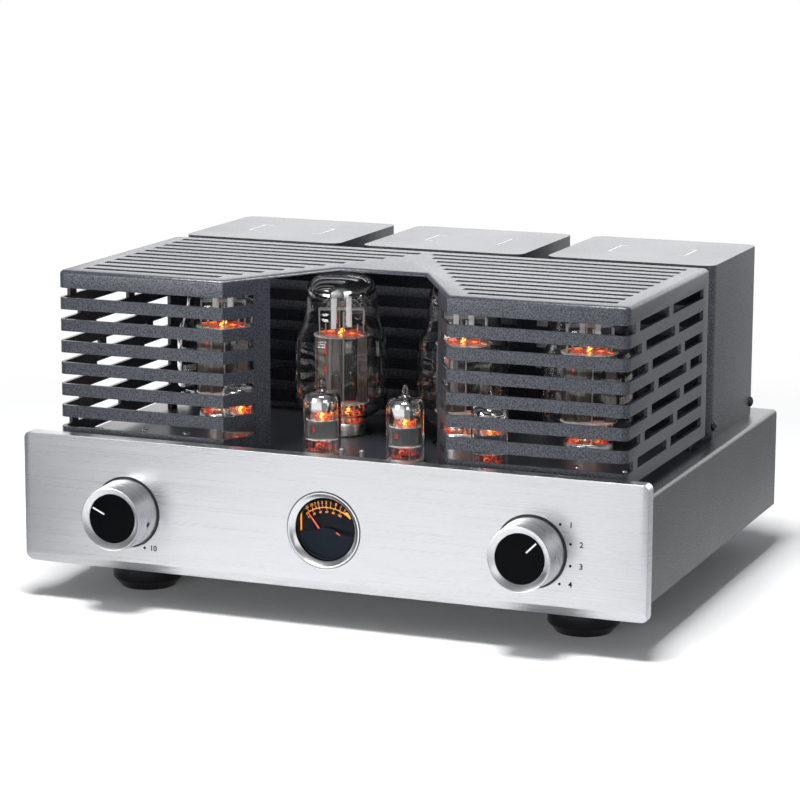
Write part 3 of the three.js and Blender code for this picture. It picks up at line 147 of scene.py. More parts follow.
def lathe(profile, axis="z", at=(0, 0, 0), sides=facets.round):
    """Solid turned about an axis from (radius, height) points, closed on the axis or on itself."""
    bm = bmesh.new()
    place = AXES[axis]
    rings = []
    for radius, height in profile:
        count = 1 if radius < TINY else sides
        points = [place(*polar(radius, math.tau * i / sides), height) for i in range(count)]
        rings.append([bm.verts.new(Vector(point) + Vector(at)) for point in points])
    pairs = list(zip(rings, rings[1:]))
    if len(rings[0]) > 1 and len(rings[-1]) > 1:
        pairs.append((rings[-1], rings[0]))
    for low, high in pairs:
        for i in range(sides):
            j = (i + 1) % sides
            loop = (low[i % len(low)], low[j % len(low)], high[j % len(high)], high[i % len(high)])
            corners = list(dict.fromkeys(loop))
            if len(corners) > 2:
                bm.faces.new(corners)
    bmesh.ops.recalc_face_normals(bm, faces=bm.faces)
    return bm


def tube(inner, outer, low, high, axis="z", at=(0, 0, 0), sides=facets.round):
    return lathe([(inner, low), (outer, low), (outer, high), (inner, high)], axis, at, sides)


def rod(radius, low, high, axis="z", at=(0, 0, 0), sides=facets.small):
    return tube(0, radius, low, high, axis, at, sides)


def prism(outline, low, high, axis="z", at=(0, 0, 0)):
    """Outline drawn across an axis and run along it."""
    bm = bmesh.new()
    place = AXES[axis]
    rows = [[bm.verts.new(Vector(place(a, b, h)) + Vector(at)) for a, b in outline] for h in (low, high)]
    for row in rows:
        bm.faces.new(row)
    for i in range(len(outline)):
        j = (i + 1) % len(outline)
        bm.faces.new((rows[0][i], rows[0][j], rows[1][j], rows[1][i]))
    bmesh.ops.recalc_face_normals(bm, faces=bm.faces)
    return bm


def block(x0, x1, y0, y1, z0, z1):
    return prism([(x0, y0), (x1, y0), (x1, y1), (x0, y1)], z0, z1)


def rectangle(x0, x1, y0, y1, radius, steps=facets.corner):
    """Rounded rectangle; radius is one number, or four from the lower left counter-clockwise."""
    radii = radius if isinstance(radius, (tuple, list)) else (radius,) * 4
    points = []
    corners = ((x0, y0, 1, 1, 2), (x1, y0, -1, 1, 3), (x1, y1, -1, -1, 0), (x0, y1, 1, -1, 1))
    for (x, y, sx, sy, quarter), r in zip(corners, radii):
        if r < TINY:
            points.append((x, y))
            continue
        for i in range(steps + 1):
            dx, dy = polar(r, (quarter + i / steps) * math.pi / 2)
            points.append((x + sx * r + dx, y + sy * r + dy))
    return points


def merged(*parts):
    """Several shapes in one mesh, as they are."""
    whole = bmesh.new()
    for part in parts:
        mesh = bpy.data.meshes.new("part")
        part.to_mesh(mesh)
        part.free()
        whole.from_mesh(mesh)
        bpy.data.meshes.remove(mesh)
    return whole


def in_scene(name, data):
    ob = bpy.data.objects.new(name, data)
    bpy.context.scene.collection.objects.link(ob)
    return ob


def linked(bm, name):
    mesh = bpy.data.meshes.new(name)
    bm.to_mesh(mesh)
    bm.free()
    return in_scene(name, mesh)


def boolean(bm, tool, kind="DIFFERENCE"):
    body, other = linked(bm, "body"), linked(tool, "tool")
    step = body.modifiers.new("cut", "BOOLEAN")
    step.object = other
    step.operation = kind
    step.solver = "EXACT"
    bpy.context.view_layer.update()
    result = bmesh.new()
    result.from_object(body, bpy.context.evaluated_depsgraph_get())
    for ob in (body, other):
        mesh = ob.data
        bpy.data.objects.remove(ob)
        bpy.data.meshes.remove(mesh)
    return result


def cut(bm, *tools):
    return boolean(bm, merged(*tools))


def moved(bm, matrix):
    bmesh.ops.transform(bm, matrix=matrix, verts=bm.verts)
    return bm


def placed(bm, x, y, z):
    return moved(bm, Matrix.Translation((x, y, z)))


def turned(bm, degrees, axis="Y", at=(0, 0, 0)):
    """Turned clockwise as seen from the front where the axis is Y."""
    turn = Matrix.Rotation(degrees * DEGREE, 4, axis)
    return moved(bm, Matrix.Translation(at) @ turn @ Matrix.Translation(-Vector(at)))


def smoothed(points, steps=5, shift=0):
    """Catmull-Rom curve through points that stay right of the axis, or of x = -shift."""
    out = []
    points = [Vector((x + shift, z)) for x, z in points]
    for i in range(len(points) - 1):
        p0, p1 = points[max(i - 1, 0)], points[i]
        p2, p3 = points[i + 1], points[min(i + 2, len(points) - 1)]
        for k in range(steps):
            t = k / steps
            p = 0.5 * (2 * p1 + (p2 - p0) * t + (2 * p0 - 5 * p1 + 4 * p2 - p3) * t * t
                       + (3 * p1 - p0 - 3 * p2 + p3) * t ** 3)
            out.append((max(p.x, 0) - shift, p.y))
    return out + [(points[-1].x - shift, points[-1].y)]


def inside(points, distance):
    """The same curve moved towards the axis by a distance."""
    out = []
    for i, (r, h) in enumerate(points):
        a, b = beside(points, i)
        along = Vector((b[0] - a[0], b[1] - a[1])).normalized()
        out.append((max(r - along.y * distance, 0), h + along.x * distance))
    return out


def feed(target, **inputs):
    """Sets or links a node's inputs: i0, i1, ... go by their place, and the others by their names."""
    for key, value in inputs.items():
        by_place = key[0] == "i" and key[1:].isdigit()
        socket = target.inputs[int(key[1:]) if by_place else key.replace("_", " ")]
        if isinstance(value, bpy.types.NodeSocket):
            target.id_data.links.new(value, socket)
        else:
            socket.default_value = value
    return target


def node(tree, kind, props=None, **inputs):
    made = tree.nodes.new("ShaderNode" + kind)
    for key, value in (props or {}).items():
        setattr(made, key, value)
    return feed(made, **inputs)


def maths(operation, *values, kind="Math", output="Value", clamp=False):
    """Result of a sum on a socket and other sockets or numbers."""
    props = {"operation": operation, "use_clamp": True} if clamp else {"operation": operation}
    inputs = {f"i{place}": value for place, value in enumerate(values)}
    return node(values[0].id_data, kind, props, **inputs).outputs[output]


def length(vector):
    return maths("LENGTH", vector, kind="VectorMath")


def scaled(vector, factors):
    return maths("MULTIPLY", vector, factors, kind="VectorMath", output="Vector")


def coords_of(tree, output="Object"):
    return node(tree, "TexCoord").outputs[output]


def part_of_vector(vector, place):
    return node(vector.id_data, "SeparateXYZ", i0=vector).outputs[place]


def principled(name, colour, roughness, metallic=0.0, **sockets):
    made = bpy.data.materials.new(name)
    made.use_nodes = True
    shader = made.node_tree.nodes["Principled BSDF"]
    feed(shader, Base_Color=(*colour, 1), Roughness=roughness, Metallic=metallic, **sockets)
    return made, made.node_tree, shader


def noise(tree, scale, stretch=(1, 1, 1), detail=3.0, rough=0.55, vector=None):
    """Noise in object space, with scale in cycles per metre."""
    steps = tuple(scale * s for s in stretch)
    place = node(tree, "Mapping", Vector=vector or coords_of(tree), Scale=steps).outputs[0]
    return node(tree, "TexNoise", Vector=place, Scale=1.0, Detail=detail, Roughness=rough).outputs[0]


def ranged(value, low, high, start=0.3, end=0.7, **props):
    return node(value.id_data, "MapRange", props, i0=value, i1=start, i2=end, i3=low, i4=high).outputs[0]


def shade(colour, share):
    return tuple(min(c * share, 1) for c in colour)


def mixed(fac, a, b):
    """Colour between two, each a socket or three numbers."""
    a, b = (c if isinstance(c, bpy.types.NodeSocket) else (*c, 1) for c in (a, b))
    return node(fac.id_data, "Mix", {"data_type": "RGBA"}, i0=fac, i6=a, i7=b).outputs[2]


def blended(fac, a, b):
    """Shader between two."""
    return node(fac.id_data, "MixShader", i0=fac, i1=a.outputs[0], i2=b.outputs[0])


def bump(shader, height, strength, depth, after=None):
    """Relief of the given depth in millimetres."""
    made = node(shader.id_data, "Bump", Height=height, Strength=strength, Distance=depth * MM)
    if after:
        feed(made, Normal=after)
    feed(shader, Normal=made.outputs[0])
    return made.outputs[0]


def brushed_metal(name, colour, roughness, grain=(5, 5, 2600), spread=0.07):
    """Metal brushed along one direction: long fine streaks in tone, gloss and relief."""
    made, tree, shader = principled(name, colour, roughness, 1.0)
    fine = noise(tree, 1, grain, 4, 0.7)
    broad = noise(tree, 1, tuple(g / 9 for g in grain), 2)
    feed(shader, Roughness=ranged(fine, roughness - spread, roughness + spread),
         Base_Color=mixed(ranged(fine, 0, 1, 0.25, 0.75), shade(colour, 0.9), colour))
    bump(shader, broad, 0.2, 0.03, bump(shader, fine, 0.35, 0.02))
    return made


def turned_metal(name, centre, colour=(0.64, 0.65, 0.67), roughness=0.22, rings=3800):
    """Metal finished on a lathe: fine rings about an axis along y."""
    made, tree, shader = principled(name, colour, roughness, 1.0, Anisotropic=0.65)
    middle = (centre[0] * MM, 0, centre[1] * MM)
    off = maths("SUBTRACT", coords_of(tree), middle, kind="VectorMath", output="Vector")
    radius = length(scaled(off, (1, 0, 1)))
    vector = node(tree, "CombineXYZ", i0=radius, i1=part_of_vector(off, 1)).outputs[0]
    fine = noise(tree, rings, vector=vector, detail=3)
    radial = node(tree, "Tangent", {"direction_type": "RADIAL", "axis": "Y"})
    feed(shader, Roughness=ranged(fine, roughness - 0.06, roughness + 0.08),
         Base_Color=mixed(fine, shade(colour, 0.88), colour), Tangent=radial.outputs[0])
    bump(shader, fine, 0.3, 0.012)
    return made


def powder_coat(name, colour, roughness=0.36, grain=1750, relief=0.055, speckle=1.5, gloss_level=0.5,
                painted_shade_zone=None):
    """Finely textured paint: raised grains with light flecks, and a little gloss between them.

    Behind the depth and below the height of the shaded zone, the coat is painted dark and nearly dull:
    painted shade for the shadow inside the cage."""
    made, tree, shader = principled(name, colour, roughness, Specular_Tint=(0.92, 0.96, 1.0, 1))
    coords = coords_of(tree)
    cells = node(tree, "TexVoronoi", {"feature": "SMOOTH_F1"}, Vector=coords, Scale=grain, Smoothness=0.6)
    soft = noise(tree, grain * 0.7, detail=4)
    broad = noise(tree, 14, detail=2)
    flecks = (0.36, 0.66)
    tone = mixed(ranged(soft, 0, 1, *flecks), tuple(c / speckle for c in colour), shade(colour, speckle))
    shine = ranged(soft, 0.3 * gloss_level, 1.75 * gloss_level, *flecks)
    # Painted shade: inside the zone the coat is darkened and dulled, standing in for the shadow there.
    if painted_shade_zone:
        depth, height = painted_shade_zone
        past = ranged(part_of_vector(coords, 1), 0, 1, (depth - 1) * MM, depth * MM)
        under = ranged(part_of_vector(coords, 2), 1, 0, (height - 1) * MM, height * MM)
        both = maths("MULTIPLY", past, under)
        tone = mixed(maths("MULTIPLY", both, 0.85), tone, (0.003, 0.0035, 0.005))
        shine = maths("MULTIPLY", shine, ranged(both, 1, 0.15, 0, 1))
    feed(shader, Base_Color=tone, Specular_IOR_Level=shine,
         Roughness=maths("MULTIPLY_ADD", broad, 0.1, roughness - 0.05))
    bump(shader, soft, 0.4, relief, bump(shader, cells.outputs["Distance"], 0.4, relief))
    return made


def moulded(name, colour, roughness, relief=0.02, grain=900, **sockets):
    """Moulded plastic or rubber with a faint grain and uneven gloss."""
    made, tree, shader = principled(name, colour, roughness, **sockets)
    fine = noise(tree, grain, detail=4)
    broad = noise(tree, 40, detail=2)
    feed(shader, Base_Color=mixed(broad, shade(colour, 0.85), shade(colour, 1.2)),
         Roughness=ranged(broad, max(roughness - 0.06, 0.02), roughness + 0.06))
    bump(shader, fine, 0.3, relief)
    return made


def plated(name, colour, roughness=0.12):
    """Bright plating with slight waviness and fine wiping marks."""
    made, tree, shader = principled(name, colour, roughness, 1.0)
    fine = noise(tree, 120, detail=4)
    feed(shader, Roughness=ranged(fine, max(roughness - 0.05, 0.02), roughness + 0.07),
         Base_Color=mixed(fine, shade(colour, 0.9), colour))
    bump(shader, fine, 0.12, 0.03)
    return made


def glowing(name, colour, strength, base=(0.3, 0.05, 0.02), grain=300):
    """Hot or lit material: the light is uneven along it."""
    made, tree, shader = principled(name, base, 0.5, Emission_Color=(*colour, 1))
    fine = noise(tree, grain, detail=2)
    feed(shader, Base_Color=mixed(fine, base, shade(base, 1.5)),
         Emission_Strength=ranged(fine, strength * 0.6, strength * 1.3))
    return made


def clear_glass(name, share=0.93, smear=0.015, ior=1.46):
    """Blown glass, faintly wavy; light passes it so that it throws only a faint shadow."""
    made, tree, shader = principled(name, (1, 1, 1), 0.0, Transmission_Weight=1.0, IOR=ior)
    wave = noise(tree, 45, (1, 1, 0.5), 2)
    feed(shader, Roughness=ranged(wave, 0.0, smear))
    bump(shader, wave, 0.1, 0.12)
    clear = node(tree, "BsdfTransparent", Color=(share, share, share, 1))
    shadow = node(tree, "LightPath").outputs["Is Shadow Ray"]
    feed(tree.nodes["Material Output"], Surface=blended(shadow, shader, clear).outputs[0])
    return made


def mica_sheet(name, glow, inner, outer):
    """Mica disc, milky and streaked, lit red from the hot parts at its centre."""
    made, tree, shader = principled(name, (0.62, 0.58, 0.54), 0.25, Alpha=0.8,
                                    Emission_Color=(1.0, 0.1, 0.03, 1))
    streaks = noise(tree, 260, detail=4)
    radius = length(scaled(coords_of(tree), (1, 1, 0)))
    fall = ranged(radius, 1, 0, inner * MM, outer * MM)
    lit = maths("MULTIPLY", fall, ranged(streaks, 0.1, 1.0, 0.4, 0.62))
    feed(shader, Base_Color=mixed(streaks, (0.35, 0.31, 0.28), (0.85, 0.82, 0.78)),
         Emission_Strength=maths("MULTIPLY", lit, glow))
    return made


def getter_film(name, low, high):
    """Mirror film inside a bulb's crown, fading out towards its lower edge."""
    made, tree, shader = principled(name, (0.78, 0.77, 0.76), 0.06, 1.0)
    height = part_of_vector(coords_of(tree), 2)
    uneven = maths("MULTIPLY_ADD", noise(tree, 180, detail=3), (high - low) * 0.5 * MM, height)
    cover_of = ranged(uneven, 0, 1, (low + 0.25 * (high - low)) * MM, high * MM)
    feed(shader, Alpha=cover_of, Base_Color=mixed(cover_of, (0.06, 0.035, 0.025), (0.8, 0.79, 0.78)))
    return made


coat = (0.038, 0.042, 0.053)
paint = Size(
    panel=brushed_metal("brushed_panel", (0.575, 0.585, 0.605), 0.30),
    charcoal=powder_coat("charcoal_coat", coat, gloss_level=0.62),
    # The cage coat carries painted shade on the inside of its rear wall, below the top.
    cage=powder_coat("cage_coat", coat, gloss_level=0.56,
                     painted_shade_zone=(cage.rear - cage.sheet, cage.top - 1.5 * cage.sheet)),
    # Painted shade: the chassis coat is a darker copy of the charcoal coat, made dark for the shade on the
    # deck under the cage; the whole chassis carries it.
    deck=powder_coat("chassis_coat_painted_shade", (0.022, 0.024, 0.030), 0.33, relief=0.06),
    bezel=turned_metal("turned_bezel", (0, meter.z), (0.62, 0.63, 0.65), rings=2600),
    inlay=moulded("gloss_inlay", (0.0012, 0.0014, 0.0024), 0.08, 0.002, 60, Specular_IOR_Level=0.05),
    # Painted shade for the groove round each knob.
    washer=moulded("knob_recess_painted_shade", (0.05, 0.05, 0.055), 0.45, Specular_IOR_Level=0.3),
    plastic=moulded("black_plastic", (0.018, 0.018, 0.02), 0.35),
    rubber=moulded("foot_plastic", (0.008, 0.008, 0.01), 0.3, grain=700, Specular_IOR_Level=0.3),
    red=moulded("red_plastic", (0.45, 0.012, 0.012), 0.25),
    ink=moulded("panel_ink", (0.006, 0.006, 0.008), 0.6, Specular_IOR_Level=0.1),
    white=moulded("white_mark", (0.85, 0.85, 0.85), 0.35),
    chrome=plated("chrome", (0.83, 0.83, 0.84), 0.08),
    steel=plated("zinc_steel", (0.5, 0.5, 0.5), 0.3),
    black_steel=plated("blackened_steel", (0.06, 0.06, 0.065), 0.3),
    gold=plated("gold_plate", (0.95, 0.68, 0.28), 0.16),
    anode=brushed_metal("grey_anode", (0.185, 0.16, 0.14), 0.34, (900, 900, 40), 0.1),
    # Painted shade: the dark block in the anode's front recess.
    carbon=moulded("painted_shade_black", (0.012, 0.011, 0.011), 0.5, grain=600),
    small_anode=brushed_metal("small_anode", (0.2, 0.21, 0.22), 0.42, (500, 500, 300), 0.14),
    ceramic=moulded("socket_ceramic", (0.55, 0.53, 0.5), 0.35),
    socket=moulded("socket_black", (0.02, 0.019, 0.018), 0.3),
    board=moulded("circuit_board", (0.02, 0.1, 0.04), 0.35),
    core=powder_coat("varnished_core", (0.07, 0.05, 0.04), 0.4, 500, 0.1),
    glass=clear_glass("bulb_glass"),
    lens=clear_glass("meter_lens", share=0.97, smear=0.004, ior=1.07),
    shell=plated("valve_base", (0.85, 0.85, 0.86), 0.26),
    pin=plated("satin_pin", (0.92, 0.92, 0.92), 0.36),
    press=moulded("glass_press", (0.30, 0.27, 0.26), 0.1, Alpha=0.45),
    mica=mica_sheet("power_mica", 0.22, 2.0, 14.0),
    small_mica=mica_sheet("signal_mica", 0.22, 1.0, 7.0),
    film=getter_film("power_getter", 83.5, 88.5),
    small_film=getter_film("signal_getter", 25.0, 29.5),
    heater=glowing("heater", (1.0, 0.42, 0.06), 4.5),
    flame=glowing("flame", (1.0, 0.2, 0.03), 1.4),
    ember=glowing("ember", (1.0, 0.05, 0.02), 0.6, (0.2, 0.03, 0.02)),
    # Painted lamp light: the amber print of the scale glows as if lit by the meter lamp, and the same glow
    # paints the lamp light on the case wall.
    amber=glowing("amber_print_painted_glow", (1.0, 0.36, 0.03), 0.9, (0.5, 0.2, 0.03), 900),
    # Painted lamp light for the meter's case.
    lamp=glowing("painted_lamp_light_glow", (1.0, 0.16, 0.02), 0.2, (0.1, 0.03, 0.01), 500),
    dial=moulded("dial_card", (0.006, 0.008, 0.013), 0.4, Specular_IOR_Level=0.06),
    mask=moulded("meter_mask", (0.005, 0.008, 0.014), 0.1, 0.001, 40, Specular_IOR_Level=0.07),
    # Painted lamp light: the needle's red paint glows as if lit by the meter lamp; the glint on the mask
    # uses it too.
    pointer_red=glowing("needle_paint_painted_glow", (1.0, 0.12, 0.05), 0.55, (0.7, 0.1, 0.05)),
)


def in_metres(bm, name, weld=True):
    """Mesh data made from a shape in millimetres."""
    bmesh.ops.scale(bm, vec=(MM, MM, MM), verts=bm.verts)
    if weld:
        bmesh.ops.remove_doubles(bm, verts=bm.verts, dist=TINY)
    mesh = bpy.data.meshes.new(name)
    bm.to_mesh(mesh)
    bm.free()
    return mesh


def dressed(name, mesh, body, slot_name, material, replaces=(), at=(0, 0, 0), edge=0, angle=30):
    """A piece of the object that rides on a body."""
    ob = in_scene(name, mesh)
    ob.location = Vector(at) * MM + Vector((0, FACE_Y, 0))
    if not mesh.materials:
        mesh.materials.append(material)
        mesh.shade_smooth()
        if not edge:
            mesh.set_sharp_from_angle(angle=angle * DEGREE)
    if edge:
        soft = ob.modifiers.new("edges", "BEVEL")
        soft.width = edge * MM
        soft.segments = 2
        soft.limit_method = "ANGLE"
        soft.angle_limit = angle * DEGREE
        soft.harden_normals = True
    if replaces:
        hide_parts(*replaces)
    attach(ob, body)
    return ob


def piece(name, bm, body, slot_name, material, *replaces, **how):
    return dressed(name, in_metres(bm, name), body, slot_name, material, replaces, **how)


def fixed(name, bm, slot_name, material, *replaces, **how):
    """A piece of the amplifier's own body, from one shape or a list of them."""
    whole = merged(*bm) if isinstance(bm, list) else bm
    return piece(name, whole, "amplifier", slot_name, material, *replaces, **how)


def repaint(material, *nodes):
    for name in nodes:
        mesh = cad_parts[name].data
        mesh.materials.clear()
        mesh.materials.append(material)


def lettering(name, text, size, material, at, slot_name="gloss_black", turn=0, depth=0.06, bold=0.0,
              half_turn=False):
    """Plain raised figures on a face that looks to the front, or to the rear after a half turn."""
    data = bpy.data.curves.new(name, "FONT")
    data.body = text
    data.size = size
    data.extrude = depth
    data.offset = bold
    data.align_x = data.align_y = "CENTER"
    temp = in_scene(name, data)
    bpy.context.view_layer.update()
    mesh = bpy.data.meshes.new_from_object(temp)
    bpy.data.objects.remove(temp)
    bm = bmesh.new()
    bm.from_mesh(mesh)
    bpy.data.meshes.remove(mesh)
    moved(bm, Matrix.Rotation(math.pi / 2, 4, "X"))
    if half_turn:
        moved(bm, Matrix.Rotation(math.pi, 4, "Z"))
    if turn:
        turned(bm, turn)
    return fixed(name, bm, slot_name, material, at=at)


def screw_head(at, axis="z", side=1, radius=button.radius, height=button.height):
    """Button head with a six-sided socket."""
    profile = [(0, -0.4), (radius, -0.4), (radius, height * 0.25), (radius * 0.9, height * 0.62),
               (radius * 0.6, height * 0.92), (radius * 0.45, height), (0, height)]
    head = lathe([(r, side * h) for r, h in profile], axis, at, facets.small)
    return cut(head, rod(radius * 0.42, *sided(side, height * 0.3, height + 1), axis, at, 6))


def make_panel():
    half = panel.half
    across = (panel.bottom - reach, panel.top + reach)
    plate = prism(rectangle(-half, half, panel.bottom, panel.top, panel.corner), 0, panel.thick, "y")
    low = [(0, panel.bottom + panel.bevel_height), (panel.bevel_depth, panel.bottom),
           (-reach, panel.bottom - reach)]
    tools = [prism(low, -half - reach, half + reach, "x")]
    for side in (-1, 1):
        tools.append(prism([(side * (half - panel.side_width), 0), (side * half, panel.side_depth),
                            (side * (half + reach), -reach)], *across))
    for x in (-knob.out, knob.out):
        tools.append(rod(knob.recess, -reach, knob.recess_depth, "y", (x, 0, knob.z), facets.fine))
        tools.append(rod(knob.shaft_hole, knob.recess_depth / 2, panel.thick + reach, "y", (x, 0, knob.z)))
    tools.append(rod(meter.bezel + gap, -reach, panel.thick + reach, "y", (0, 0, meter.z), facets.fine))
    for tool in tools:
        plate = boolean(plate, tool)
    fixed("panel_plate", plate, "brushed_aluminium", paint.panel, "front_panel", edge=panel.edge)


def make_panel_figures():
    """Numbers and dots at the knobs: (name, text, knob, radius, clock angle, offset of the text)."""
    ink = Size(depth=0.06, dot=0.8, size=4.4, bold=0.1)
    rows = [(f"selector_figure_{i + 1}", str(i + 1), knob.out, 23.5, 45 + i * 30, 6.2) for i in range(4)]
    rows += [("volume_figure_10", "10", -knob.out, 23, 151, 5.6),
             ("volume_figure_0", "0", -knob.out, 23, -150, -4.4)]
    dots = []
    for name, text, knob_x, radius, angle, offset in rows:
        x, z = clock(radius, angle, (knob_x, knob.z))
        dots.append(rod(ink.dot, -ink.depth, ink.depth, "y", (x, 0, z)))
        lettering(name, text, ink.size, paint.ink, (x + offset, 0, z), depth=ink.depth, bold=ink.bold)
    fixed("panel_dots", dots, "gloss_black", paint.ink)


def make_knob(name, x, turn, screw_turn):
    at = (x, 0, knob.z)
    front = -knob.reach
    face = front + knob.dish_depth
    floor = face + knob.inlay
    rear = knob.recess_depth - gap

    def crosswise(radius, low, high, sides=facets.small):
        return rod(radius, low, high, "z", (x, -knob.screw_setback, knob.z), sides)

    small, large = knob.front, knob.rear
    profile = [(0, floor), (knob.dish, floor), (knob.dish, face), (knob.dish + 0.15, face - 0.1),
               (small - 0.75, front + 0.1), (small - 0.5, front), (small - 0.15, front + 0.12),
               (small, front + 0.5), (large - 0.1, rear - 0.6), (large - 0.3, rear - 0.1),
               (large - 0.6, rear), (0, rear)]
    hole = turned(crosswise(knob.screw, small * 0.7, large + reach), screw_turn, "Y", at)
    bore = rod(knob.bore, rear - knob.bore_depth, rear + reach, "y", at)
    body = cut(lathe(profile, "y", at, facets.fine), hole, bore)
    metal = turned_metal(f"turned_{name}", (x, knob.z), roughness=0.29)
    piece(f"{name}_knob_body", body, name, "satin_aluminium", metal, f"{name}_knob", angle=24)
    socket = crosswise(knob.screw * 0.95, small * 0.72, large - 1.6, facets.tiny)
    hexagon = crosswise(knob.screw * 0.55, large - 3.2, large + reach, 6)
    screw = turned(cut(socket, hexagon), screw_turn, "Y", at)
    piece(f"{name}_set_screw", screw, name, "steel", paint.black_steel)
    rim = knob.dish - 0.15
    disc = lathe([(0, face), (knob.dish - 0.6, face), (rim, face + 0.25), (rim, floor), (0, floor)],
                 "y", at, facets.fine)
    piece(f"{name}_inlay_disc", disc, name, "gloss_black", paint.inlay, f"{name}_inlay", angle=20)
    tip = knob.z + knob.dish - pointer.inset
    sides = span(x, pointer.width / 2)
    mark = block(*sides, face - pointer.relief, face + 0.2, tip - pointer.length, tip)
    piece(f"{name}_pointer", turned(mark, turn, "Y", at), name, "satin_aluminium", paint.white)


make_panel()
make_panel_figures()
for place, x in (("left", -knob.out), ("right", knob.out)):
    # Painted shade: a dark ring on the floor of each knob recess stands in for the shade in the groove
    # round the knob.
    washer = tube(knob.shaft_hole + 0.1, knob.recess - 0.1, knob.recess_depth - 0.25, knob.recess_depth,
                  "y", (x, 0, knob.z), facets.fine)
    fixed(f"recess_painted_shade_ring_{place}", washer, "black_plastic", paint.washer)
make_knob("volume", -knob.out, turns.volume, turns.volume_screw)
make_knob("selector", knob.out, turns.selector, turns.selector_screw)
repaint(paint.steel, "volume_spindle", "selector_spindle", "volume_potentiometer", "selector_switch")


def make_scale(face, at):
    """Arc with ticks and figures, thickening to a wedge at its end."""
    radius, centre = scale.radius, (scale.x, -scale.drop)
    depth = (face - 0.08, face + 0.05)

    def arc(height, first, last, steps=40):
        near, far = [], []
        for k in range(steps + 1):
            share = k / steps
            angle = first + (last - first) * share
            near.append(clock(radius, angle, centre))
            far.append(clock(radius + height(share), angle, centre))
        return prism(near + far[::-1], *depth, "y", at)

    def tick(half, low, high, angle):
        strip = turned(block(-half, half, *depth, radius + low, radius + high), angle)
        marks.append(placed(strip, scale.x, 0, meter.z - scale.drop))

    def figure(name, text, size, out, angle):
        x, z = clock(radius + out, angle, centre)
        lettering(name, text, size, paint.amber, (x, face - 0.02, meter.z + z), "dial_face", angle, 0.05)

    def wedge_height(share):
        return scale.line + 2.3 * min(1, 3 * share) * (1 - 0.3 * share)

    marks = [arc(lambda share: scale.line, scale.start, scale.wedge),
             arc(wedge_height, scale.wedge, scale.end)]
    for text, angle in scale_figures:
        tick(0.13, 0.4, 1.7, angle)
        if angle < 32:
            figure(f"scale_figure_{len(marks)}", text, 2.3, 2.9, angle)
    for k in range(6):
        angle = scale.start + (scale.last_share - scale.start) * k / 5
        tick(0.12, -1.0, 0, angle)
        figure(f"share_figure_{k}", str(20 * k), 1.7, -2.3, angle)
    fixed("scale_print", marks, "dial_face", paint.amber)


def make_meter():
    at = (0, 0, meter.z)
    outer, window = meter.bezel, meter.window
    glass_front = meter.cone + meter.lip
    glass_back = glass_front + meter.glass
    case_radius = window + meter.wall
    cavity = case_radius - meter.cavity_wall
    seat = case_radius + gap
    mask_front = glass_back + 0.4
    mask_back = mask_front + 0.7
    needle_front, needle_back = mask_back + gap, mask_back + gap + 0.6
    dial_front = needle_back + gap
    dial_back = dial_front + 0.8
    about = ("y", at, facets.fine)
    ring = [(outer - 0.7, -0.5), (outer - 1.0, -0.42), (window + 0.25, meter.cone - 0.15),
            (window, meter.cone), (window, glass_front), (seat, glass_front), (seat, panel.thick),
            (outer, panel.thick), (outer, -0.15), (outer - 0.1, -0.38), (outer - 0.3, -0.5)]
    fixed("bezel_ring", lathe(ring, *about), "satin_aluminium", paint.bezel, "meter_bezel", angle=24)
    gasket = [(window - 0.9, glass_front - 0.5), (window - 0.05, glass_front - 0.6),
              (window - 0.05, glass_front - 0.02), (window - 0.9, glass_front - 0.02)]
    fixed("meter_gasket", lathe(gasket, *about), "black_plastic", paint.inlay, "meter_bezel")
    lens = rod(case_radius, glass_front, glass_back, *about)
    fixed("meter_lens", lens, "clear_glass", paint.lens, "meter_glass")
    can = cut(rod(case_radius, glass_back, meter.depth, *about),
              rod(cavity, glass_back - reach, dial_back, *about))
    fixed("meter_can", can, "black_plastic", paint.plastic, "meter_case", edge=0.2)
    crest = [(x, z) for x, z in smoothed(mask_crest, shift=100) if math.hypot(x, z) < cavity - 0.1]
    low = [polar(cavity, math.pi + 0.2 + (math.pi - 0.4) * k / 40) for k in range(41)]
    mask = prism(crest + low, mask_front, mask_back, "y", at)
    fixed("meter_mask", mask, "black_plastic", paint.mask, "meter_case", edge=0.15)
    disc = rod(cavity - 0.15, dial_front, dial_back, "y", at, facets.round)
    fixed("dial_card", disc, "dial_face", paint.dial, "meter_dial")
    pivot = (needle.x, 0, meter.z - needle.drop)
    half, tip = needle.width / 2, needle.length
    blade = [(-half, -needle.tail), (half, -needle.tail), (half, tip / 2), (half / 2, tip),
             (-half / 2, tip), (-half, tip / 2)]
    blade = turned(prism(blade, needle_front, needle_back, "y", pivot), needle.rest, "Y", pivot)
    hub = tube(needle.bore, needle.hub, needle_front, needle_back, "y", pivot, facets.small)
    blade = merged(blade, hub)
    piece("needle_blade", blade, "needle", "needle_orange", paint.pointer_red, "meter_needle")
    axle = rod(needle.pin, needle_front, dial_back, "y", pivot, facets.tiny)
    fixed("needle_pin", axle, "steel", paint.chrome, "meter_case")
    make_scale(dial_front, at)
    # Painted lamp light: glowing strips stand in for the lamp light caught on the left wall and along the
    # upper right rim of the case, and a glowing red stroke on the mask is a painted glint.
    strip = block(-0.16, 0.16, glass_back + 0.6, dial_front - 0.3, -2.4, 8.0)
    fixed("painted_lamp_light_strip", placed(strip, 1.6 - cavity, 0, meter.z), "dial_face", paint.amber)
    angles = [8 + 48 * k / 30 for k in range(31)]
    rim = [clock(cavity - 0.05, angle) for angle in angles]
    rim += [clock(cavity - 0.55, angle) for angle in angles[::-1]]
    rim = prism(rim, glass_back + 0.2, glass_back + 0.7, "y", at)
    fixed("painted_lamp_light_rim", rim, "dial_face", paint.lamp)
    glint = turned(block(-1.3, 1.3, mask_front - 0.06, mask_front + 0.1, -0.24, 0.24), 34)
    fixed("mask_painted_glint", placed(glint, 6.9, 0, meter.z - 2.4), "needle_orange", paint.pointer_red)


make_meter()


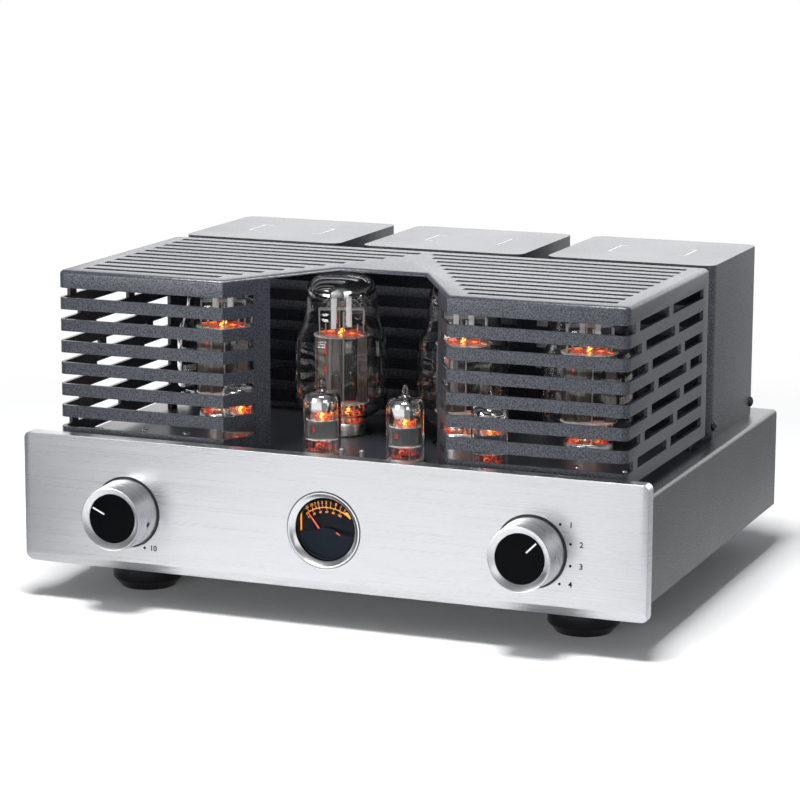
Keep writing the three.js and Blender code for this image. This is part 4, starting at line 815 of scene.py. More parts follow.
def make_chassis():
    half, sheet = chassis.half, chassis.sheet
    outline = rectangle(-half, half, chassis.bottom, chassis.deck, (0, 0, chassis.corner, chassis.corner))
    shell = prism(outline, chassis.front, chassis.rear, "y")
    shell = boolean(shell, block(-half + sheet, half - sheet, chassis.front + sheet, chassis.rear - sheet,
                                 chassis.bottom - reach, chassis.deck - sheet))
    deck = (chassis.deck - sheet - reach, chassis.deck + reach)
    wall = (chassis.front - reach, chassis.front + sheet + reach)
    rear = (chassis.rear - sheet - reach, chassis.rear + reach)
    side = (-half - reach, -half + sheet + reach)
    holes = [rod(octal + socket_gap, *deck, "z", (x, power.row, 0), facets.round) for x in power_x]
    holes += [rod(noval + socket_gap, *deck, "z", (x, signal.row, 0), facets.round) for x in signal_x]
    holes += [rod(knob.shaft_hole, *wall, "y", (x, 0, knob.z)) for x in (-knob.out, knob.out)]
    holes.append(rod(meter.can_hole, *wall, "y", (0, 0, meter.z), facets.round))
    openings = ((terminal.x, terminal.half - terminal.rim, terminal.body_half + gap),
                (phono.x, phono.half_x - phono.rim + gap, phono.half_z - phono.rim + gap),
                (inlet.x, inlet.body_width / 2 + gap, inlet.body_height / 2 + gap))
    for x, half_x, half_z in openings:
        holes.append(block(*span(x, half_x), *rear, *span(rear_mid, half_z)))
    holes.append(rod(aerial.jack + gap, *rear, "y", (aerial.x, 0, aerial.z)))
    well = (*span(rocker.y, rocker.body_y + gap), *span(rear_mid, rocker.body_z + gap))
    holes.append(block(*side, *well))
    fixed("chassis_shell", cut(shell, *holes), "charcoal_paint", paint.deck, "chassis", edge=0.25)
    across = [x for inset in deck_screw.insets for x in (inset - half, half - inset)]
    heads = [screw_head((x, deck_screw.y, chassis.deck)) for x in across]
    fixed("deck_screws", heads, "chrome", paint.chrome, "chassis")
    post = [(0, -0.5), (1.2, -0.5), (1.2, 5.6), (1.0, 5.9), (1.0, 6.2), (1.5, 6.5), (1.55, 7.5),
            (1.2, 8.1), (0, 8.3)]
    spots = [(x, deck_post.y, chassis.deck) for x in (-deck_post.x, deck_post.x)]
    posts = [lathe(post, "z", spot, facets.small) for spot in spots]
    fixed("deck_posts", posts, "chrome", paint.pin, "chassis")


def make_sockets():
    low = -socket_depth
    profile = [(4.3, low), (octal, low), (octal, -0.5), (octal - 0.5, 0), (13.9, 0), (13.6, -0.3),
               (4.8, -0.3), (4.3, -0.8)]
    large = [lathe(profile, "z", (x, power.row, chassis.deck)) for x in power_x]
    fixed("octal_sockets", large, "black_plastic", paint.socket, "tube_board")
    profile = [(0, low), (noval, low), (noval, -0.4), (noval - 0.4, 0), (0, 0)]
    small = [lathe(profile, "z", (x, signal.row, chassis.deck)) for x in signal_x]
    fixed("noval_sockets", small, "black_plastic", paint.socket, "tube_board")
    top = chassis.deck - chassis.sheet - valve_board.drop
    lift = (top, chassis.deck - socket_depth)
    sheet = rectangle(*span(0, valve_board.half), valve_board.front, valve_board.rear, valve_board.corner)
    parts = [prism(sheet, top - valve_board.thick, top)]
    parts += [rod(octal - 2, *lift, "z", (x, power.row, 0)) for x in power_x]
    parts += [rod(noval - 2, *lift, "z", (x, signal.row, 0)) for x in signal_x]
    under = chassis.deck - chassis.sheet
    spots = [(x, y, 0) for x in valve_board.spacer_x for y in valve_board.spacer_y]
    parts += [rod(valve_board.spacer, top, under, "z", spot, 6) for spot in spots]
    fixed("valve_board", parts, "green_board", paint.board, "tube_board")


def make_feet():
    ground, top, shoulder, high = foot.ground, foot.top, foot.shoulder, foot.height
    profile = [(0, 0), (ground - 3.2, 0), (ground - 3.0, 0.5), (ground - 1.4, 0.5), (ground - 0.5, 0.25),
               (ground - 0.1, 0.7), (ground + 0.3, 1.3), (top - 0.9, shoulder - 0.6), (top - 0.3, shoulder),
               (top, shoulder + 0.8), (top, high - 0.6), (top - 0.5, high), (0, high)]
    for row, y in (("front", foot.front), ("rear", foot.rear)):
        for side, x in (("left", -foot.out), ("right", foot.out)):
            fixed(f"foot_{row}_{side}_body", lathe(profile, sides=facets.fine), "foot_rubber", paint.rubber,
                  f"foot_{row}_{side}", at=(x, y, 0), angle=40)


def round_rim(bm, height, edge, segments):
    """Rounds the edges that lie at a height."""
    rim = [e for e in bm.edges if all(abs(v.co.z - height) < TINY for v in e.verts)]
    bmesh.ops.bevel(bm, geom=rim, offset=edge, segments=segments, profile=0.5, affect="EDGES")
    return bm


def make_cover(place, x):
    depth = (cover.rear - cover.front) / 2

    def can(inset, low):
        top = cover.height - inset
        across, along = span(0, cover.half_width - inset), span(0, depth - inset)
        outline = rectangle(*across, *along, cover.corner - inset, 8)
        return round_rim(prism(outline, low, top), top, cover.edge - inset, 7)

    node_name = f"transformer_cover_{place}"
    at = (x, (cover.front + cover.rear) / 2, chassis.deck)
    shell = boolean(can(0, 0), can(cover.sheet, -reach))
    fixed(f"cover_{place}", shell, "charcoal_paint", paint.charcoal, node_name, at=at, angle=40)
    heads = []
    for side in (-1, 1):
        for end in (-1, 1):
            spot = (side * cover.half_width, end * (depth - cover.screw_inset), cover.screw_rise)
            heads.append(screw_head(spot, "x", side, cover.screw, cover.screw_height))
    fixed(f"cover_{place}_screws", heads, "charcoal_paint", paint.black_steel, node_name, at=at)
    # A pair of thin printed brackets on the flat of the top.
    lines = []
    top = span(cover.height, cover.ink)
    for side in (-1, 1):
        upright = span(side * cover.bracket_x, cover.bracket_line)
        lines.append(block(*upright, *span(0, cover.bracket_y), *top))
        arm = sided(side, cover.bracket_x, cover.bracket_x - cover.bracket_arm)
        for end in (-cover.bracket_y, cover.bracket_y):
            lines.append(block(*arm, *span(end, cover.bracket_line / 2), *top))
    fixed(f"cover_{place}_brackets", lines, "satin_aluminium", paint.white, node_name, at=at)


make_chassis()
repaint(paint.deck, "bottom_cover")
repaint(paint.core, "transformer_left", "transformer_centre", "transformer_right")
make_sockets()
repaint(paint.board, "power_supply_board")
make_feet()
for place, x in (("left", -cover.pitch), ("centre", 0), ("right", cover.pitch)):
    make_cover(place, x)


def on_return(share):
    """Point of the slanting return beside the cage's mouth."""
    return cage.mouth + share * (cage.notch - cage.mouth), cage.front + share * cage.notch_depth


def shifted(points, distance):
    """Open line moved to its left by a distance, with mitred corners."""
    out = []
    for i, p in enumerate(points):
        normals = []
        for a, b in ((i - 1, i), (i, i + 1)):
            if a >= 0 and b < len(points):
                d = (Vector(points[b]) - Vector(points[a])).normalized()
                normals.append(Vector((-d.y, d.x)))
        middle = sum(normals, Vector((0, 0))).normalized()
        out.append(tuple(Vector(p) + middle * distance / middle.dot(normals[0])))
    return out


def cage_slots():
    """Slots in the walls, the front ones staggered where they wrap round the corners, and in the top."""
    half, sheet = cage.half, cage.sheet
    rear = (cage.rear - 2 * sheet, cage.rear + reach)
    tools = []
    for level in range(slot.count):
        top = cage.top - slot.first - level * slot.pitch
        heights = (top - slot.height, top)
        steps = min(level, slot.count - 1 - level)
        wrap_end = cage.front + slot.wrap + steps * slot.stagger
        line = [on_return(cage.slot_share), (cage.mouth, cage.front), (half, cage.front), (half, wrap_end)]
        outline = shifted(line, -sheet) + shifted(line, cage.corner)[::-1]
        first = wrap_end + slot.bridge
        second = first + slot.dash + slot.bridge
        for side in (-1, 1):
            tools.append(prism([(side * x, y) for x, y in outline], *heights))
            wall = sided(side, half - 2 * sheet, half + reach)
            for run in ((first, first + slot.dash), (second, cage.rear - slot.rear_margin)):
                tools.append(block(*wall, *run, *heights))
            run = sided(side, slot.wall_dash + slot.wall_bridge, half - slot.rear_margin)
            tools.append(block(*run, *rear, *heights))
        tools.append(block(*span(0, slot.wall_dash), *rear, *heights))
    slope = (cage.mouth - cage.notch) / cage.notch_depth
    for i in range(top_slot.count):
        y = cage.front + top_slot.margin + i * top_slot.pitch
        edge = cage.notch + top_slot.border + slope * (cage.front + cage.notch_depth - y)
        for side in (1, -1):
            run = sided(side, max(top_slot.web, edge), half - top_slot.side)
            tools.append(block(*run, *span(y, top_slot.width / 2), cage.top - 2 * sheet, cage.top + reach))
    return tools


def make_cage():
    half, sheet = cage.half, cage.sheet
    back = cage.front + cage.notch_depth
    corner = rectangle(-half, half, cage.front, cage.rear, cage.corner, 4)
    notch = [(-cage.mouth, cage.front), (-cage.notch, back), (cage.notch, back), (cage.mouth, cage.front)]
    plan = corner[:5] + notch + corner[5:]
    outer = round_rim(prism(plan, cage.bottom, cage.top), cage.top, cage.edge, 4)
    inner_plan = shifted([plan[-1]] + plan + [plan[0]], sheet)[1:-1]
    shell = boolean(outer, prism(inner_plan, cage.bottom - reach, cage.top - sheet))
    end = on_return(cage.return_share)
    mouth = block(*span(0, cage.mouth), end[1], back + 2 * sheet, cage.bottom - reach, cage.top - sheet)
    shell = cut(boolean(shell, mouth), *cage_slots())
    piece("cage_sheet", shell, "cage", "charcoal_paint", paint.cage, "tube_cage", edge=0.35, angle=50)
    head = cage.bottom + sheet
    rings = [(0, chassis.deck)]
    for k in range(pin.rings):
        z = chassis.deck + k * pin.ring_pitch
        rings += [(pin.radius - pin.groove, z), (pin.radius, z + 0.35), (pin.radius, z + 1.05),
                  (pin.radius - pin.groove, z + 1.35)]
    rings += [(pin.radius - 0.6, head), (0, head)]
    pins = []
    for side in (-1, 1):
        for y in (cage.front + pin.front, cage.rear - pin.rear):
            tab = sided(side, half - 1, half - 2 * pin.inset)
            pins.append(block(*tab, *span(y, pin.tab / 2), cage.bottom, head))
            pins.append(lathe(rings, "z", (side * (half - pin.inset), y, 0), facets.small))
    piece("cage_pins", merged(*pins), "cage", "charcoal_paint", paint.black_steel, "tube_cage")


make_cage()


def crown_film(inner, low, thick=0.12, clear=0.08):
    """Thin film against the inner wall, above a height."""
    line = [p for p in inner if p[1] >= low]
    sheets = [inside(line, clear), inside(line, clear + thick)]
    for sheet in sheets:
        sheet[-1] = (0, sheet[-1][1])
    return lathe(sheets[0] + sheets[1][::-1])


def toothed_disc(radius, low, high, teeth, depth=0.8, steps=3):
    count = 2 * teeth * steps
    radii = [radius if (i // steps) % 2 else radius - depth for i in range(count)]
    return prism([polar(r, math.tau * i / count) for i, r in enumerate(radii)], low, high)


def wire(points, radius, sides=10):
    """Bent wire through points."""
    bm = bmesh.new()
    points = [Vector(p) for p in points]
    side = None
    rings = []
    for i, p in enumerate(points):
        a, b = beside(points, i)
        along = (b - a).normalized()
        side = (along.orthogonal() if side is None else side - along * side.dot(along)).normalized()
        other = along.cross(side)
        ring = [polar(1, math.tau * k / sides) for k in range(sides)]
        rings.append([bm.verts.new(p + (side * u + other * v) * radius) for u, v in ring])
    for low, high in zip(rings, rings[1:]):
        for k in range(sides):
            j = (k + 1) % sides
            bm.faces.new((low[k], low[j], high[j], high[k]))
    bm.faces.new(rings[0])
    bm.faces.new(rings[-1])
    bmesh.ops.recalc_face_normals(bm, faces=bm.faces)
    return bm


def tangle(*rows):
    """Loose bits of bent wire from rows of (seed, box, count, thickness, points), inside the boxes."""
    bits = []
    for seed, box, count, thick, *steps in rows:
        spread = random.Random(seed)
        for _ in range(count):
            point = [spread.uniform(*ends) for ends in box]
            line = []
            for _ in range(*(steps or [5])):
                line.append(tuple(point))
                for axis, (low, high) in enumerate(box):
                    stride = min(2.2, (high - low) * 0.45)
                    point[axis] = min(max(point[axis] + spread.uniform(-stride, stride), low), high)
            bits.append(wire(line, spread.uniform(0.5, 1.0) * thick, 7))
    return bits


def mirrored(*parts):
    """The parts and the same turned half round, so that front and rear match."""
    whole = merged(*parts)
    other = whole.copy()
    moved(other, Matrix.Rotation(math.pi, 4, "Z"))
    return merged(whole, other)


def facing(bm):
    """A valve's inner parts, turned as the valve stands in its socket."""
    return turned(bm, view_azimuth, "Z")


def place_copies(kind, parts, xs, row):
    """Every valve of a kind shares the meshes of its parts."""
    for label, bm, slot_name, material, part_of in parts:
        mesh = in_metres(bm, f"{kind}_{label}", weld=False)
        for i, x in enumerate(xs):
            dressed(f"{kind}_{i + 1}_{label}", mesh, "amplifier", slot_name, material,
                    [f"{kind}_{i + 1}_{part_of}"], at=(x, row, chassis.deck), angle=35)


metal, clear = "electrode_metal", "clear_glass"


def make_power_valves():
    wall, crown = 1.1, 96.6
    low, high = 20.2, 59.0
    outline = [(13.4, 2), (13.4, 6), (13.7, 8.8), (17.2, 11.2), (21.6, 13.6), (25.2, 17.6), (27.2, 22.5),
               (27.8, 30), (27.8, 43), (27.2, 55), (25.6, 61.4), (23.4, 67), (21.9, 73), (21.3, 79),
               (20.9, 84.8), (20.2, 88.9), (18.3, 92.6), (14.4, 95.2), (8.6, 96.4), (3.5, crown),
               (0, crown)]
    outline = smoothed(outline)
    inner = inside(outline, wall)
    inner[-1] = (0, crown - wall)
    # Two boxed wings and a flat between them, the same from the front and the rear.
    front = [(-14.6, 0), (-14.6, -4.4), (-13.4, -6.0), (-10.4, -6.4), (-8.6, -6.4), (-8.3, -7.6),
             (-7.4, -8.7), (-6.2, -9.0), (-5.2, -8.5), (-4.8, -7.4), (0.2, -7.0), (0.5, -6.4), (0.5, -2.6),
             (8.5, -2.2), (8.8, -6.6), (9.3, -7.9), (15.2, -6.8), (15.8, -5.4), (15.8, 0)]
    windows = []
    for x, bottom, top in ((-9.5, 48.3, 54.0), (-9.5, 37.1, 41.6), (2.0, 22.5, 25.0)):
        for side in (1, -1):
            windows.append(block(*span(side * x, 0.6), *sided(side, -12, -1), bottom, top))
    anode = cut(prism(front + [(-x, -y) for x, y in front], low, high), *windows)
    cathodes = []
    for side in (1, -1):
        spot = (-side * 9.5, -side * 2.4, 0)
        cathodes.append(rod(0.9, low + 1, high - 1, "z", spot, facets.tiny))
    # Painted shade: a dark block in the front recess of the anode stands in for the dark gap seen there,
    # front and rear.
    shade_block = [block(1.0, 8.3, -3.4, -1.8, low + 0.3, high - 0.3)]
    posts = ((1.3, -9.4, 10, 75), (-13.0, -3.0, 60, 75), (13.4, -3.0, 66, 75), (9.6, -6.0, 59, 67),
             (-7.5, -4, 12, 20), (8.0, -5, 12, 20))
    rods = [rod(0.45, bottom, top, "z", (x, y, 0), 12) for x, y, bottom, top in posts]
    rods.append(block(-13.4, 13.4, -3.3, -2.7, 74.8, 75.4))
    rods += tangle((3, ((6.4, 11.6), (-6, -3), (76.5, 83)), 3, 0.45, 9),
                   (8, ((-12, -7), (-6, -2), (68, 80)), 2, 0.3, 8))
    strips = [block(*span(x, 1.5), -4.3, -3.9, bottom, 82) for x, bottom in ((-4.6, 63.5), (4.3, 66))]
    tab = block(-1.8, 1.8, -0.2, 0.2, -2.0, 2.0)
    strips.append(placed(turned(tab, -43, "X"), 4.6, -3.6, 54))
    drop = [(0, 0), (0.9, 0.3), (1.3, 1.2), (0.9, 2.2), (0, 2.5)]
    heaters = [lathe(drop, "z", (-0.6, -5.6, 60.1), facets.tiny)]
    heaters += tangle((21, ((3.0, 7.0), (-7, -4), (11.0, 16.0)), 2, 0.5),
                      (5, ((-9.0, -2.0), (-7, -4), (9.5, 16.0)), 2, 0.4))
    flames = tangle((12, ((3.5, 13.0), (-7, -3), (60.3, 61.6)), 4, 0.4),
                    (31, ((0.5, 12.5), (-9, -4), (7.5, 17.0)), 4, 0.34),
                    (33, ((-11.0, 0.0), (-9, -4), (7.5, 17.0)), 4, 0.36))
    embers = tangle((41, ((-12.0, 12.0), (-9, -3), (60.3, 61.8)), 8, 0.4),
                    (43, ((-12.5, 13.5), (-9, -4), (6.0, 18.0)), 16, 0.5),
                    (47, ((-3.5, 3.5), (-4, -2), (62, 80)), 3, 0.3))
    embers.append(block(1.0, 9.5, -8.6, -7.4, 18.2, 19.1))
    micas = [toothed_disc(16.6, z, z + 0.6, 30) for z in (59.4, 19.3)]
    press = lathe([(0, 2), (8.2, 2), (8.0, 5), (6.0, 10), (5.4, 15.5), (4.2, 17), (0, 17.2)])
    base = [(0, -9), (4, -9), (4, 0), (13.2, 0), (14.2, 0.25), (14.6, 0.8), (14.6, 6.6), (14.35, 7.6),
            (13.9, 8.0), (13.65, 7.8), (13.65, 1.2), (13.65, 1.6), (0, 1.6)]
    parts = (
        ("bulb", lathe(outline + inner[::-1]), clear, paint.glass, "glass"),
        ("getter", crown_film(inner, 84.5), clear, paint.film, "glass"),
        ("anode", facing(anode), metal, paint.anode, "electrodes"),
        ("shade_block", facing(mirrored(*shade_block)), metal, paint.carbon, "electrodes"),
        ("cathodes", facing(merged(*cathodes)), metal, paint.ember, "electrodes"),
        ("rods", facing(mirrored(*rods)), metal, paint.steel, "electrodes"),
        ("strips", facing(mirrored(*strips)), metal, paint.pin, "electrodes"),
        ("heaters", facing(mirrored(*heaters)), metal, paint.heater, "electrodes"),
        ("flames", facing(mirrored(*flames)), metal, paint.flame, "electrodes"),
        ("embers", facing(mirrored(*embers)), metal, paint.ember, "electrodes"),
        ("micas", merged(*micas), metal, paint.mica, "electrodes"),
        ("press", press, clear, paint.press, "electrodes"),
        ("base", lathe(base, sides=facets.fine), "chrome", paint.shell, "electrodes"),
    )
    place_copies("power_tube", parts, power_x, power.row)


def make_signal_valves():
    low, high, half, depth = 9.8, 20.4, 9.0, 3.9
    outline = smoothed([(10.9, 1.4), (10.9, 10), (10.9, 22), (10.9, 30.8), (10.5, 33.4), (9.4, 35.5),
                        (7.0, 36.9), (3.8, 37.7), (2.3, 38.6), (1.75, 40.2), (1.6, 42.4), (1.0, 44.3),
                        (0, 45)])
    inner = inside([p for p in outline if p[0] > 2.4], 0.8) + [(0, 36.7)]
    windows, seams = [], []
    for side in (1, -1):
        hole = rod(1.1, -6, 6, "y")
        bmesh.ops.scale(hole, vec=(1, 1, 1.6), verts=hole.verts)
        windows.append(placed(hole, -side * 5.2, -side * 6, 15.2))
        seams.append(block(*span(side * 4.6, 0.25), *span(-side * depth, 0.3), low, high))
    anode = cut(prism(rectangle(-half, half, -depth, depth, 2.0, 5), low, high), *windows)
    core = rod(0.8, low + 0.4, high - 0.4, "z", (-4.8, -1.6, 0), facets.tiny)
    micas = [toothed_disc(9.4, z - 0.2, z + 0.2, 22, 0.6) for z in (low - 0.4, high + 0.4)]
    posts = ((-6.2, 24), (-2.6, 27), (2.8, 24), (6.0, 27))
    rods = [rod(0.35, 2.0, top, "z", (x, -3.0, 0), 10) for x, top in posts]
    ring = [(3.2 + dr, 26.6 + dz) for dr, dz in (polar(0.35, math.tau * k / 8) for k in range(8))]
    rods.append(lathe(ring, sides=40))
    drop = [(0, 0), (0.7, 0.2), (0.95, 0.9), (0.6, 1.7), (0, 2.0)]
    heaters = [lathe(drop, "z", (0.0, -4.2, 21.6), facets.tiny)]
    heaters += tangle((52, ((-2.0, 0.5), (-5, -3), (21.4, 24.0)), 2, 0.28))
    flames = tangle((61, ((-1.5, 6.5), (-5, -2), (21.3, 25.5)), 5, 0.32),
                    (63, ((-1.0, 2.0), (-5, -2), (25.0, 28.5)), 2, 0.3),
                    (65, ((-4.0, 4.0), (-6, -3), (4.5, 7.0)), 1, 0.22))
    embers = tangle((71, ((-6.0, 7.0), (-6, -3), (21.2, 24.0)), 6, 0.3),
                    (73, ((-7.5, 7.5), (-6, -3), (2.6, 8.8)), 9, 0.24))
    base = lathe([(0, 0), (10.9, 0), (10.9, 1.4), (9.9, 1.4), (9.9, 1.9), (4.2, 2.3), (0, 2.3)])
    parts = (
        ("bulb", lathe(outline + inner[::-1]), clear, paint.glass, "glass"),
        ("getter", crown_film(inner, 25.0), clear, paint.small_film, "glass"),
        ("anode", facing(merged(anode, *seams)), metal, paint.small_anode, "electrodes"),
        ("cathodes", facing(mirrored(core)), metal, paint.ember, "electrodes"),
        ("micas", merged(*micas), metal, paint.small_mica, "electrodes"),
        ("rods", facing(mirrored(*rods)), metal, paint.steel, "electrodes"),
        ("heaters", facing(mirrored(*heaters)), metal, paint.heater, "electrodes"),
        ("flames", facing(mirrored(*flames)), metal, paint.flame, "electrodes"),
        ("embers", facing(mirrored(*embers)), metal, paint.ember, "electrodes"),
        ("base", base, clear, paint.press, "electrodes"),
    )
    place_copies("signal_tube", parts, signal_x, signal.row)


make_power_valves()
make_signal_valves()


def make_terminals():
    rear, mid, half = chassis.rear, rear_mid, terminal.half
    node_name = "speaker_terminal_block"
    face = rear + terminal.plate
    end = rear + terminal.post
    shoulder = face + terminal.collar
    start = shoulder + gap
    bore, thread = terminal.nut_bore, terminal.thread
    plate = prism(rectangle(*span(terminal.x, half), *span(mid, terminal.height / 2), 3), rear, face, "y")
    inner = block(*span(terminal.x, half - terminal.rim), rear - terminal.body_depth, rear,
                  *span(mid, terminal.body_half))
    fixed("terminal_plate", [plate, inner], "black_plastic", paint.plastic, node_name, edge=0.3)
    threads = [(0, face), (thread, face)]
    y = shoulder
    while y < end - 1.0:
        threads += [(thread, y), (thread - 0.3, y + 0.35), (thread, y + 0.7)]
        y += terminal.thread_pitch
    threads += [(2.6, end), (0, end)]
    collar = [(thread, face - 0.2), (5.5, face - 0.2), (5.5, shoulder - 0.4), (5.1, shoulder),
              (thread, shoulder)]
    lower = [(bore, start), (6.1, start), (6.4, start + 0.6), (bore, start + 0.6)]
    upper = [(bore, start + 12.8), (6.4, start + 12.8), (5.8, start + 13.7), (5.2, start + 14),
             (bore, start + 14)]
    grip = [polar(terminal.nut_radius - terminal.knurl * (k % 2), math.tau * k / terminal.teeth)
            for k in range(terminal.teeth)]
    posts, collars = [], []
    for i in range(terminal.count):
        at = (terminal.x + (i - (terminal.count - 1) / 2) * terminal.pitch, 0, mid)
        posts.append(lathe(threads, "y", at, facets.small))
        collars.append(lathe(collar, "y", at))
        nut = cut(prism(grip, start + 0.6, start + terminal.nut - 1.2, "y", at),
                  rod(bore, start - 1, start + 16, "y", at, facets.round))
        nut = merged(nut, lathe(lower, "y", at), lathe(upper, "y", at))
        body = f"nut_{i + 1}"
        looks = ("red_plastic", paint.red) if i % 3 else ("black_plastic", paint.plastic)
        piece(f"{body}_grip", nut, body, *looks, f"speaker_{body}", angle=25)
    fixed("terminal_posts", posts, "chrome", paint.gold, node_name)
    fixed("terminal_collars", collars, "black_plastic", paint.socket, node_name)
    spots = [(x, face, mid + rise) for x in span(terminal.x, half - terminal.screw_inset)
             for rise in (terminal.screw_rise, -terminal.screw_rise)]
    heads = [screw_head(spot, "y", radius=2.2) for spot in spots]
    fixed("terminal_screws", heads, "chrome", paint.chrome, node_name)


def make_phono():
    rear = chassis.rear
    face = rear + phono.plate
    plate = rectangle(*span(phono.x, phono.half_x), *span(rear_mid, phono.half_z), 2.5)
    plate = prism(plate, rear, face, "y")
    inner = block(*span(phono.x, phono.half_x - phono.rim), rear - phono.body_depth, rear,
                  *span(rear_mid, phono.half_z - phono.rim))
    fixed("phono_plate", [plate, inner], "black_plastic", paint.plastic, "phono_block", edge=0.3)
    collar = [(4.1, face - 0.2), (5.2, face - 0.2), (5.2, face + 1.7), (4.9, face + 2), (4.1, face + 2)]
    barrel = [(3.3, face), (4.1, face), (4.1, face + 10.7), (3.9, face + 11), (3.5, face + 11),
              (3.3, face + 10.8)]
    collars = [[], []]
    barrels, liners = [], []
    for i in range(phono.columns):
        for k in range(phono.rows):
            at = (phono.x + (i - 1) * phono.px, 0, rear_mid + (k - 0.5) * phono.pz)
            collars[k].append(lathe(collar, "y", at))
            barrels.append(lathe(barrel, "y", at))
            liners.append(tube(1.7, 3.3, face + 3, face + 10.6, "y", at, facets.small))
    fixed("phono_collars_white", collars[1], "gloss_black", paint.white, "phono_block")
    fixed("phono_collars_red", collars[0], "red_plastic", paint.red, "phono_block")
    fixed("phono_barrels", barrels, "chrome", paint.gold, "phono_block")
    fixed("phono_liners", liners, "black_plastic", paint.ceramic, "phono_block")
    for i in range(phono.columns):
        at = (phono.x + (i - 1) * phono.px, face, rear_mid)
        lettering(f"phono_figure_{i + 1}", str(phono.columns - i), 4.4, paint.white, at,
                  "satin_aluminium", half_turn=True)


def make_inlet():
    x, rear = inlet.x, chassis.rear
    face = rear + inlet.flange
    plug, low = rear_mid + inlet.plug_rise, rear_mid - inlet.drawer_drop
    flange = rectangle(*span(x, inlet.width / 2), *span(rear_mid, inlet.height / 2), 3)
    flange = prism(flange, rear, face, "y")
    body = block(*span(x, inlet.body_width / 2), rear - inlet.body_depth, rear + 0.5,
                 *span(rear_mid, inlet.body_height / 2))
    keyed = ((-12, -7.75), (12, -7.75), (12, 3.6), (7.8, 7.75), (-7.8, 7.75), (-12, 3.6))
    cavity = prism([(x + dx, plug + dz) for dx, dz in keyed], face - 18, face + reach, "y")
    half, deep, rise = inlet.drawer_half, inlet.drawer_depth, inlet.drawer_rise
    drawer = block(*span(x, half + gap), face - deep - gap, face + reach, *span(low, rise + gap))
    whole = cut(boolean(flange, body, "UNION"), cavity, drawer)
    fixed("inlet_body", whole, "black_plastic", paint.plastic, "mains_inlet", edge=0.3)
    spots = [(x + dx, plug + dz) for dx, dz in ((-7, -2), (0, 2), (7, -2))]
    blades = [block(*span(bx, 1), face - 20, face - 9, *span(bz, 2)) for bx, bz in spots]
    fixed("inlet_blades", blades, "chrome", paint.chrome, "mains_inlet", edge=0.25)
    front = face + gap
    tray = block(*span(x, half), face - deep, front, *span(low, rise))
    lip = prism(rectangle(*span(x, half + 1), *span(low, rise + 1), 1), front, front + 1, "y")
    nib = prism(rectangle(*span(x, 4), low + 2.2, low + 3.6, 0.6), front + 1, front + 1.35, "y")
    tray = merged(tray, lip, nib)
    piece("fuse_tray", tray, "fuse", "black_plastic", paint.plastic, "fuse_drawer", edge=0.2)


def make_aerial():
    x, rear = aerial.x, chassis.rear
    at = (x, 0, aerial.z)
    y = rear + aerial.nut
    end = y + aerial.jack_length
    start = y + gap
    nut = rod(aerial.flats, rear, y, "y", at, 6)
    threads = [(0, rear - 8), (aerial.jack, rear - 8), (aerial.jack, y)]
    while y < end - 0.8:
        threads += [(aerial.jack - 0.25, y + 0.3), (aerial.jack, y + 0.6)]
        y += aerial.thread_pitch
    threads += [(aerial.jack - 0.3, end), (0, end)]
    jack = [nut, lathe(threads, "y", at, facets.small)]
    fixed("aerial_jack", jack, "chrome", paint.gold, "antenna_jack")
    fork = end + aerial.collar
    tip = fork + aerial.fork
    looks = ("black_plastic", paint.plastic)
    barrel = lathe([(3.5, start), (4.8, start), (5, start + 0.3), (5, tip - 0.6), (4.5, tip), (0, tip),
                    (0, end + gap), (3.5, end + gap)], "y", at)
    barrel = boolean(barrel, block(*span(x, 2.5), fork, tip + reach, *span(aerial.z, 10)))
    hinge = (x, fork + aerial.fork / 2, aerial.z)
    piece("aerial_knuckle", barrel, "aerial_base", *looks, "antenna_knuckle", angle=40)
    axle = rod(1.3, -4.5, 4.5, "x", hinge, facets.small)
    piece("aerial_pin", axle, "aerial_base", "steel", paint.steel, "antenna_knuckle")
    tongue = merged(tube(1.6, 5.2, -2.2, 2.2, "x", hinge),
                    block(*span(x, 2.2), *span(hinge[1], 4.6), aerial.z + 2.6, aerial.z + 7.8))
    shaft = lathe([(0, 7.73), (3.6, 7.73), (4, 8.3), (4, 14), (3.85, 15), (3.85, 30), (2.9, 96.5),
                   (2.4, 97.6), (1.2, 98), (0, 98)], "z", hinge)
    piece("aerial_rod", merged(tongue, shaft), "aerial_rod", *looks, "antenna_rod", angle=35)


